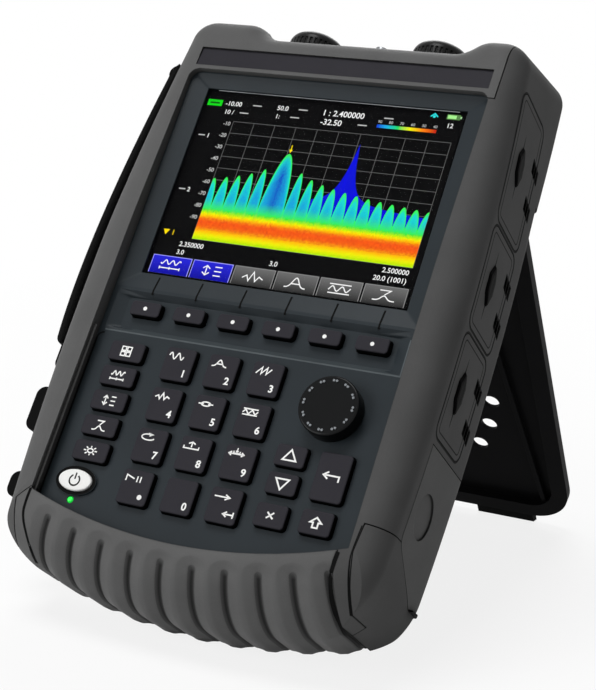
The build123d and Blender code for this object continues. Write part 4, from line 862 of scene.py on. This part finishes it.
def make_legends():
    w = KEY_TOP + LEGEND_UP
    for n, (key, icon) in enumerate(PAD.items()):
        art = Sheet()
        left = PAD_LEFT + PAD_PITCH_U * (n % 3)
        low = PAD_BOTTOM - PAD_PITCH_V * (n // 3)
        right, top = left + PAD_WIDE, low + PAD_HIGH
        if key.isdigit():
            art.text(key, right - 3.3, low + 2.3, 3.4, w, WHITE, "CENTER", 0.03)
        if icon:
            draw_icon(art, icon, left + 5.6, top - 4.1, 3.6, 1.5, w, WHITE, 0.62)
        if key == "9":
            draw_icon(art, "into", left + 5.6, top - 2.6, 1.5, 1.2, w, WHITE, 0.5)
        if key == "point":
            art.disc(right - 3.6, low + 3.8, 1.15, w, WHITE)
        if key == "enter":
            draw_icon(art, "return", right - 4.0, low + 4.4, 2.4, 1.5, w, WHITE, 0.7)
        legend(art, "key_" + key)
    for i, icon in enumerate(FUNCTION_ICONS):
        art = Sheet()
        mid_v = FUNCTION_BOTTOM - FUNCTION_PITCH * i + FUNCTION_HIGH / 2
        half_u = 2.4 if icon == "squares" else 3.4
        draw_icon(art, icon, FUNCTION_LEFT + FUNCTION_WIDE / 2, mid_v, half_u, 2.2, w, WHITE, 0.6)
        legend(art, f"function_key_{i + 1}")
    for key, (u, v, icon, half_u, half_v) in RIGHT_KEYS.items():
        art = Sheet()
        draw_icon(art, icon, u, v, half_u, half_v, w, WHITE, 0.75)
        legend(art, key)
    for i in range(6):
        art = Sheet()
        art.disc(SOFTKEY_LEFT + SOFTKEY_PITCH * i, SOFTKEY_V, 0.95, SOFTKEY_TOP + LEGEND_UP, WHITE)
        legend(art, f"softkey_{i + 1}")
    art = Sheet()
    u, v = POWER
    w = POWER_TOP + LEGEND_UP
    art.stroke([(u + 2.5 * x, v - 0.2 + 2.5 * y) for x, y in arc(122, 418)], 0.72, w, INK)
    art.stroke([(u, v + 0.3), (u, v + 3.2)], 0.72, w, INK)
    art.piece("legend_power_key", "legend_black", "power_key", "key_dark")


make_legends()

# Right side: painted shade in the seams and grooves round the doors, and the pulls on them.

DOORS = {"port_door_upper": (2.2, 66.0), "port_door_middle": (-49.0, -0.4),
         "port_door_lower": (-100.0, -52.0)}        # lower and upper edge
DOOR_W = (-43.0, -7.5)
DOOR_CORNER = 5.0
DOOR_GAP = 0.4
DOOR_SEAM = (DOOR_GAP, DOOR_GAP + 0.75)  # out of the door's edge, inner and outer line
DOOR_GROOVE = (-2.9, -2.4)
BAND_LIFT = 0.04
PULL_W, PULL_HALF, PULL_WIDE, PULL_POINT, PULL_TIP = -20.5, 9.6, 4.4, 5.4, 0.7
PULL_STEPS = ((0.0, -0.6), (0.0, 0.35), (0.9, 1.0), (2.2, 1.15))  # smaller by, out of the side by


def side_u(v, w):
    """Where the right side lies at a height and depth."""
    up = v - SIDE_RISE * (SIDE_TOP_W - w) - SIDE_HIGH
    off = max(up, SIDE_LOW - v, 0.0)
    return HALF_WIDTH - SIDE_R + math.sqrt(SIDE_R * SIDE_R - off * off)


def rounded(x0, y0, x1, y1, r, grow=0.0):
    """Outline of a rectangle with round corners, made larger by grow."""
    r = max(r + grow, 0.3)
    left, right, low, high = x0 - grow + r, x1 + grow - r, y0 - grow + r, y1 + grow - r
    out = []
    for x, y, start in ((right, high, 0), (left, high, 90), (left, low, 180), (right, low, 270)):
        out += [ring_at(x, y, r, start + a) for a in range(0, 91, 15)]
    return out


def subdivided(points, step=4.0):
    out = []
    for (a, b), (c, d) in zip(points, points[1:] + points[:1]):
        count = max(1, int(math.hypot(c - a, d - b) / step))
        out += [(a + (c - a) * i / count, b + (d - b) * i / count) for i in range(count)]
    return out


def side_band(art, low, high, lines):
    """A flat band on the right side round a door, between two lines, for painted shade in a seam or groove.
    """
    outlines = [subdivided(rounded(low, DOOR_W[0], high, DOOR_W[1], DOOR_CORNER, grow)) for grow in lines]
    art.rings([[(side_u(v, w) + BAND_LIFT, v, w) for v, w in outline] for outline in outlines])


def make_pull(door, low, high):
    """The raised black pull in the middle of a door, with bevelled sides."""
    mid = (low + high) / 2
    rings = []
    for shrink, lift in PULL_STEPS:
        half, wide = PULL_HALF - shrink, PULL_WIDE - shrink
        flat = half - PULL_POINT
        front = [(half, PULL_TIP), (flat, wide), (-flat, wide), (-half, PULL_TIP)]
        shape = [(-v, -w) for v, w in front] + front
        rings.append([(side_u(mid + v, PULL_W + w) + lift, mid + v, PULL_W + w) for v, w in shape])
    art = Sheet()
    art.rings(rings, True)
    art.piece(door + "_pull", "plug_black", door, "socket_black")


def make_side():
    for door, edges in DOORS.items():
        art = Sheet()
        side_band(art, *edges, DOOR_SEAM)
        art.dark("seam_" + door)
        art = Sheet()
        side_band(art, *edges, DOOR_GROOVE)
        art.dark("door_groove_shade_" + door, door)
        make_pull(door, *edges)


make_side()

# Lines on the panel below the display: painted shade in the tick grooves, and a painted glint on the glass.

TICK_WIDE, TICK_LOW, TICK_HIGH = 0.9, -60.5, -51.0
BEZEL_FOOT, BEZEL_SILL, BEZEL_DROP = -58.0, -49.55, -2.0
GLINT_U, GLINT_V, GLINT_W, GLINT_WIDE = (-60.5, 62.0), 49.15, -2.72, 0.32


def make_ticks():
    # Painted shade: black strips over the tick grooves on the slope under the display.
    art = Sheet()
    for i in range(6):
        u = SOFTKEY_LEFT + SOFTKEY_PITCH * i
        a, b = u - TICK_WIDE / 2, u + TICK_WIDE / 2
        end_w = BEZEL_DROP * (TICK_HIGH - BEZEL_FOOT) / (BEZEL_SILL - BEZEL_FOOT) + 0.05
        rows = [(TICK_LOW, 0.04), (BEZEL_FOOT, 0.04), (TICK_HIGH, end_w)]
        art.add([(x, v, w) for v, w in rows for x in (a, b)], [(0, 1, 3, 2), (2, 3, 5, 4)])
    art.dark("tick_groove_shade")


make_ticks()


def make_glass_line():
    """A painted highlight: the pale glint along the top edge of the glass."""
    art = Sheet()
    art.stroke([(u, GLINT_V) for u in GLINT_U], GLINT_WIDE, GLINT_W, WHITE)
    art.piece("glass_edge_glint", "edge_glint", HOUSING, "lens")


# Painted shade in open seams, the lip beside the left rail with painted shade under it, and a painted
# highlight on the ridge under the soft keys.

GRIP_ROLL = (-157.5, -24.0)  # middle of the roll from the front to the bottom
SEAM_LINES = {  # width, and points along it
    "corner_seam_shade": (1.2, (
        (78.9, -148.0, 6.6), (78.3, -154.3, 6.4), (77.8, -160.9, 6.6), (78.2, -166.7, 5.2),
        (79.1, -173.8, 1.7), (79.8, -178.9, -3.2), (80.0, -181.4, -6.3))),
    "grip_seam_right_shade": (1.8, (
        (71.8, -160.5, 6.9), (71.0, -166.6, 5.3), (70.5, -171.3, 2.4), (71.5, -177.4, -1.7),
        (72.8, -181.7, -6.3), (74.2, -185.1, -12.4), (74.8, -186.8, -24.0), (74.7, -186.9, -37.9))),
    "grip_seam_left_shade": (1.3, (
        (-75.8, -160.0, 6.6), (-76.3, -164.0, 6.3), (-77.1, -168.6, 4.9), (-77.4, -171.8, 3.5),
        (-76.8, -175.3, 1.6), (-75.3, -179.7, -1.4), (-73.9, -184.8, -7.0), (-73.8, -188.5, -15.3))),
}
SEAM_LIFT = 0.1
LIP_V = (-165.5, -80.5)
LIP_SHAPE = ((-0.4, 5.1), (1.1, 5.1), (1.3, 4.9), (1.3, 4.5), (1.1, 4.3), (-0.4, 4.3))  # out of the wall, w
GAP_OUT, GAP_WIDE, GAP_W, GAP_TURN = 0.45, 0.8, 0.06, 3
RIDGE_HALF, RIDGE_V, RIDGE_WIDE, RIDGE_HIGH, RIDGE_W = 72.6, -80.3, 0.75, 17, 0.05
SLOPE_HALF, SLOPE_IN = RIDGE_HALF - 2.2, 4.0
SLOPE_V, SLOPE_W = (-80.4, -77.6), (0.05, -2.02)
POWER_HALF, POWER_WELL, POWER_WELL_W = (8.25, 4.9), (0.2, 1.75), 1.16


def skin(*names):
    """The surface of some pieces of the frame, in the face's axes."""
    points, faces = [], []
    for name in names:
        base = len(points)
        points += [FACE_BACK @ v.co for v in NODES[name].data.vertices]
        faces += [tuple(base + i for i in f.vertices) for f in NODES[name].data.polygons]
    return BVHTree.FromPolygons(points, faces)


def smooth_path(points, steps=6):
    """A curve through some points."""
    pts = [Vector(p) for p in points]
    pts = [2 * pts[0] - pts[1], *pts, 2 * pts[-1] - pts[-2]]
    out = []
    for a, b, c, d in zip(pts, pts[1:], pts[2:], pts[3:]):
        for i in range(steps):
            t = i / steps
            bend, twist = 2 * a - 5 * b + 4 * c - d, 3 * b - a - 3 * c + d
            out.append(0.5 * (2 * b + (c - a) * t + bend * t ** 2 + twist * t ** 3))
    return out + [pts[-2]]


def seam_height(surface, at, out):
    """How far a surface lies above a point near it."""
    hit = surface.ray_cast(at + out * 3, -out, 4.5)[0]
    return (hit - at).dot(out) if hit is not None else -1.0


def make_seam(name, wide, points, surface):
    """Painted shade in an open seam: a dark line that lies on the grip and the rails."""
    path = smooth_path(points)
    rows = []
    for i, p in enumerate(path):
        out = Vector((0, min(0.0, p.y - GRIP_ROLL[0]), p.z - GRIP_ROLL[1])).normalized()
        along = path[min(i + 1, len(path) - 1)] - path[max(i - 1, 0)]
        across = out.cross(along).normalized() * wide / 2
        spots = [p + across * k / 2 for k in range(-2, 3)]
        heights = [seam_height(surface, q, out) for q in spots]
        top = max(heights)
        rows += [spots[k] + out * (max(heights[k], top - 0.3) + SEAM_LIFT) for k in (0, -1)]
    art = Sheet()
    art.add(rows, [(2 * i, 2 * i + 1, 2 * i + 3, 2 * i + 2) for i in range(len(path) - 1)])
    art.dark(name)


def make_lip():
    """The thin lip out of the left rail's wall, in a grey darkened as painted shade, and painted shade in the
    gap under it.
    """
    rail = skin("overmold")
    count, n = 24, len(LIP_SHAPE)
    points, gap = [], []
    for i in range(count + 1):
        v = LIP_V[0] + (LIP_V[1] - LIP_V[0]) * i / count
        wall = rail.ray_cast(Vector((-66.0, max(v, LIP_V[0] + 6), 4.0)), Vector((-1, 0, 0)))[0].x
        points += [(wall + out, v, w) for out, w in LIP_SHAPE]
        gap.append(wall + GAP_OUT)
    faces = [(i * n + j, i * n + j + 1, (i + 1) * n + j + 1, (i + 1) * n + j)
             for i in range(count) for j in range(n - 1)]
    faces += [tuple(reversed(range(n))), tuple(count * n + j for j in range(n))]
    art = Sheet()
    art.add(points, faces)
    art.piece("panel_lip", "side_plain_shaded", HOUSING, "soft_grey")
    art = Sheet()
    middle = gap[-1] + GAP_TURN, LIP_V[1] - 4.4
    turn = [ring_at(*middle, GAP_TURN, 180 - a) for a in range(0, 91, 15)]
    art.stroke([(gap[0], LIP_V[0] + 3.5), *turn], GAP_WIDE, GAP_W, INK)
    art.dark("panel_gap_shade")


def make_ridge():
    """Painted highlight along the edge of the trough under the display, and painted light on the slope down
    from it.
    """
    art = Sheet()
    line = [(-RIDGE_HALF, RIDGE_V), (RIDGE_HALF, RIDGE_V), (RIDGE_HALF, RIDGE_V + RIDGE_HIGH)]
    art.stroke(line, RIDGE_WIDE, RIDGE_W, INK)
    art.piece("trough_ridge_highlight", "ridge", HOUSING, "panel_dark")
    art = Sheet()
    low, high = zip(SLOPE_V, SLOPE_W)
    inner = SLOPE_HALF - SLOPE_IN
    art.add([(-SLOPE_HALF, *low), (SLOPE_HALF, *low), (inner, *high), (-inner, *high)], [(0, 1, 2, 3)])
    art.piece("trough_slope_light", "slope", HOUSING, "panel_dark")


def make_power_ring():
    """The black well round the power key."""
    art = Sheet()
    turns = [math.tau * i / 48 for i in range(48)]
    art.rings([[(POWER[0] + (POWER_HALF[0] + grow) * math.cos(a),
                 POWER[1] + (POWER_HALF[1] + grow) * math.sin(a), POWER_WELL_W) for a in turns]
               for grow in POWER_WELL])
    art.dark("power_well")


make_power_ring()
for name, (wide, points) in SEAM_LINES.items():
    make_seam(name, wide, points, skin("overmold", "right_rail", "bottom_grip"))
make_lip()
make_ridge()
make_glass_line()

# Hand strap: a crowned woven band with two rows of stitches along each edge.

STRAP_ENDS = ((-99.8, 62.0), (-107.6, -18.0), (-107.0, -80.0))
STRAP_W = -37.0
STRAP_HALF = 17.2
STRAP_RUN = (-0.055, 1.03)  # the ends lap over the lugs
STRAP_THICK, STRAP_INNER = 4.2, 0.5  # outwards from the middle, and the inner side's share of that
STRAP_CLOSE = 0.03  # share of the length in which an end closes
STITCH_ROWS, STITCH_COUNT = (-0.86, -0.74, 0.74, 0.86), 64
STITCH_RUN, STITCH_FILL, STITCH_HALF = (0.05, 0.9), 0.62, 0.016
STITCH_SHAPE = ((0.0, -0.5), (0.3, 0.03), (0.7, 0.03), (1.0, -0.5))  # along it, above the strap


def strap_at(t):
    """Middle of the strap and its outward direction, from the top at 0 to the lower end at 1."""
    (u0, v0), (u1, v1), (u2, v2) = STRAP_ENDS
    a, b, c = (1 - t) * (1 - 2 * t), 4 * t * (1 - t), t * (2 * t - 1)
    da, db, dc = 4 * t - 3, 4 - 8 * t, 4 * t - 1
    along = Vector((da * u0 + db * u1 + dc * u2, da * v0 + db * v1 + dc * v2)).normalized()
    return Vector((a * u0 + b * u1 + c * u2, a * v0 + b * v1 + c * v2)), Vector((along.y, -along.x))


def strap_point(t, across, out):
    """A point of the strap: across its width from -1 to 1, and out from its middle in mm."""
    at, away = strap_at(t)
    p = at + away * out
    return (p.x, p.y, STRAP_W + across * STRAP_HALF)


def strap_thick(t):
    """Half thickness of the padded strap on its outer side, which closes at the ends."""
    end = min(t - STRAP_RUN[0], STRAP_RUN[1] - t) / STRAP_CLOSE
    return STRAP_THICK * math.sqrt(max(0.02, 1 - (1 - min(1.0, end)) ** 2))


def make_strap():
    along, n = 120, 28
    rings = []
    for i in range(along + 1):
        t = STRAP_RUN[0] + (STRAP_RUN[1] - STRAP_RUN[0]) * i / along
        thick = strap_thick(t)
        ring = []
        for j in range(n):
            a = math.tau * j / n
            c, s = math.cos(a), math.sin(a)
            across = math.copysign(abs(c) ** 0.28, c)
            out = math.copysign(abs(s) ** 0.7, s) * thick * (1.0 if s > 0 else STRAP_INNER)
            ring.append(strap_point(t, across, out))
        rings.append(ring)
    art = Sheet()
    art.rings(rings, True)
    art.faces.append(tuple(reversed(range(n))))
    strap = art.piece("strap", "strap_black", HOUSING, "strap_black")
    for face in strap.data.polygons:
        face.use_smooth = True
    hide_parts("hand_strap")


def make_stitches():
    art = Sheet()
    start, run = STITCH_RUN
    for across in STITCH_ROWS:
        for i in range(STITCH_COUNT):
            t0 = start + run * i / STITCH_COUNT
            t1 = t0 + run / STITCH_COUNT * STITCH_FILL
            crown = strap_thick((t0 + t1) / 2) * (1 - abs(across) ** 7.14) ** 0.35
            rows = [strap_point(t0 * (1 - k) + t1 * k, across + side, crown + lift)
                    for k, lift in STITCH_SHAPE for side in (-STITCH_HALF, STITCH_HALF)]
            art.add(rows, [(0, 1, 3, 2), (2, 3, 5, 4), (4, 5, 7, 6)])
    art.piece("strap_stitches", "thread", HOUSING, "strap_black")


make_strap()
make_stitches()

# Back: beads and ribs on the kickstand, and painted shade for the vents in the case over it.

STAND_PIN = (23.0, -62.7)
STAND_OPEN = math.radians(69.9)
STAND_OUTER_W = -66.0
STAND_BACK = (Matrix.Translation((0, *STAND_PIN)) @ Matrix.Rotation(STAND_OPEN, 4, "X")
              @ Matrix.Translation((0, -STAND_PIN[0], -STAND_PIN[1])))
STAND_BEAD = (-78.0, -181.0, 78.0, 10.0, 17.0)  # edges and corner radius, drawn folded
STAND_RIBS = (-26.0, 0.0, 26.0)
STAND_RIB_V = (-138.0, -78.0)
STAND_FIELD = (-44.0, -68.0, 44.0, -6.0, 4.0)
BEAD_STEPS = ((0.0, -0.2), (0.0, 0.45), (-0.35, 0.8))  # out of the outline, rise
RIB_STEPS = ((0.0, -0.2), (0.0, 0.4), (-0.4, 0.85), (-0.9, 0.95))
RIB_HALF, RIB_R = 1.6, 1.5
VENT_ROWS, VENT_FIRST, VENT_COUNT, VENT_PITCH = (40.5, 51.5), 12.0, 7, 6.4
VENT_HALF, VENT_HIGH, VENT_R = 1.3, 8.0, 1.2
GASKET = ((80.0, -45.0), (90.3, -45.0), (90.3, -52.0), (88.5, -56.2), (85.0, -58.2), (80.0, -58.2))  # u, w
GASKET_V = (-166.7, -165.9)


def stand_ring(outline, rise):
    return [STAND_BACK @ Vector((x, y, STAND_OUTER_W - rise)) for x, y in reversed(outline)]


def make_stand_back():
    """The beads and ribs on the kickstand's outer face."""
    art = Sheet()
    for shape, wide in ((STAND_BEAD, 2.6), (STAND_FIELD, 1.6)):
        steps = BEAD_STEPS + tuple((-wide - grow, rise) for grow, rise in reversed(BEAD_STEPS))
        art.rings([stand_ring(rounded(*shape, grow), rise) for grow, rise in steps])
    for x in STAND_RIBS:
        outline = (x - RIB_HALF, STAND_RIB_V[0], x + RIB_HALF, STAND_RIB_V[1], RIB_R)
        art.rings([stand_ring(rounded(*outline, grow), rise) for grow, rise in RIB_STEPS], True)
    art.piece("stand_beads", "stand_black", "kickstand", "stand_black")


def make_vents():
    """Slots in the back of the case, over the kickstand, drawn as black sheets: painted shade in the
    openings.
    """
    back = skin("rear_case", "overmold")
    art = Sheet()
    for low in VENT_ROWS:
        for x in [side * (VENT_FIRST + VENT_PITCH * i) for side in (-1, 1) for i in range(VENT_COUNT)]:
            points = []
            for px, py in rounded(x - VENT_HALF, low, x + VENT_HALF, low + VENT_HIGH, VENT_R):
                hit = back.ray_cast(Vector((px, py, -120.0)), Vector((0, 0, 1)))[0]
                points.append((px, py, hit.z - 0.06))
            art.add(points, [tuple(reversed(range(len(points))))])
    art.dark("back_vent_shade")


def make_door_gasket():
    """The gasket in the seam at the foot of the battery door's flat panel."""
    art = Sheet()
    art.rings([[(u, v, w) for u, w in GASKET] for v in GASKET_V], True)
    art.faces.append(tuple(reversed(range(len(GASKET)))))
    art.dark("battery_door_gasket", "battery_door")


make_stand_back()
make_vents()
make_door_gasket()
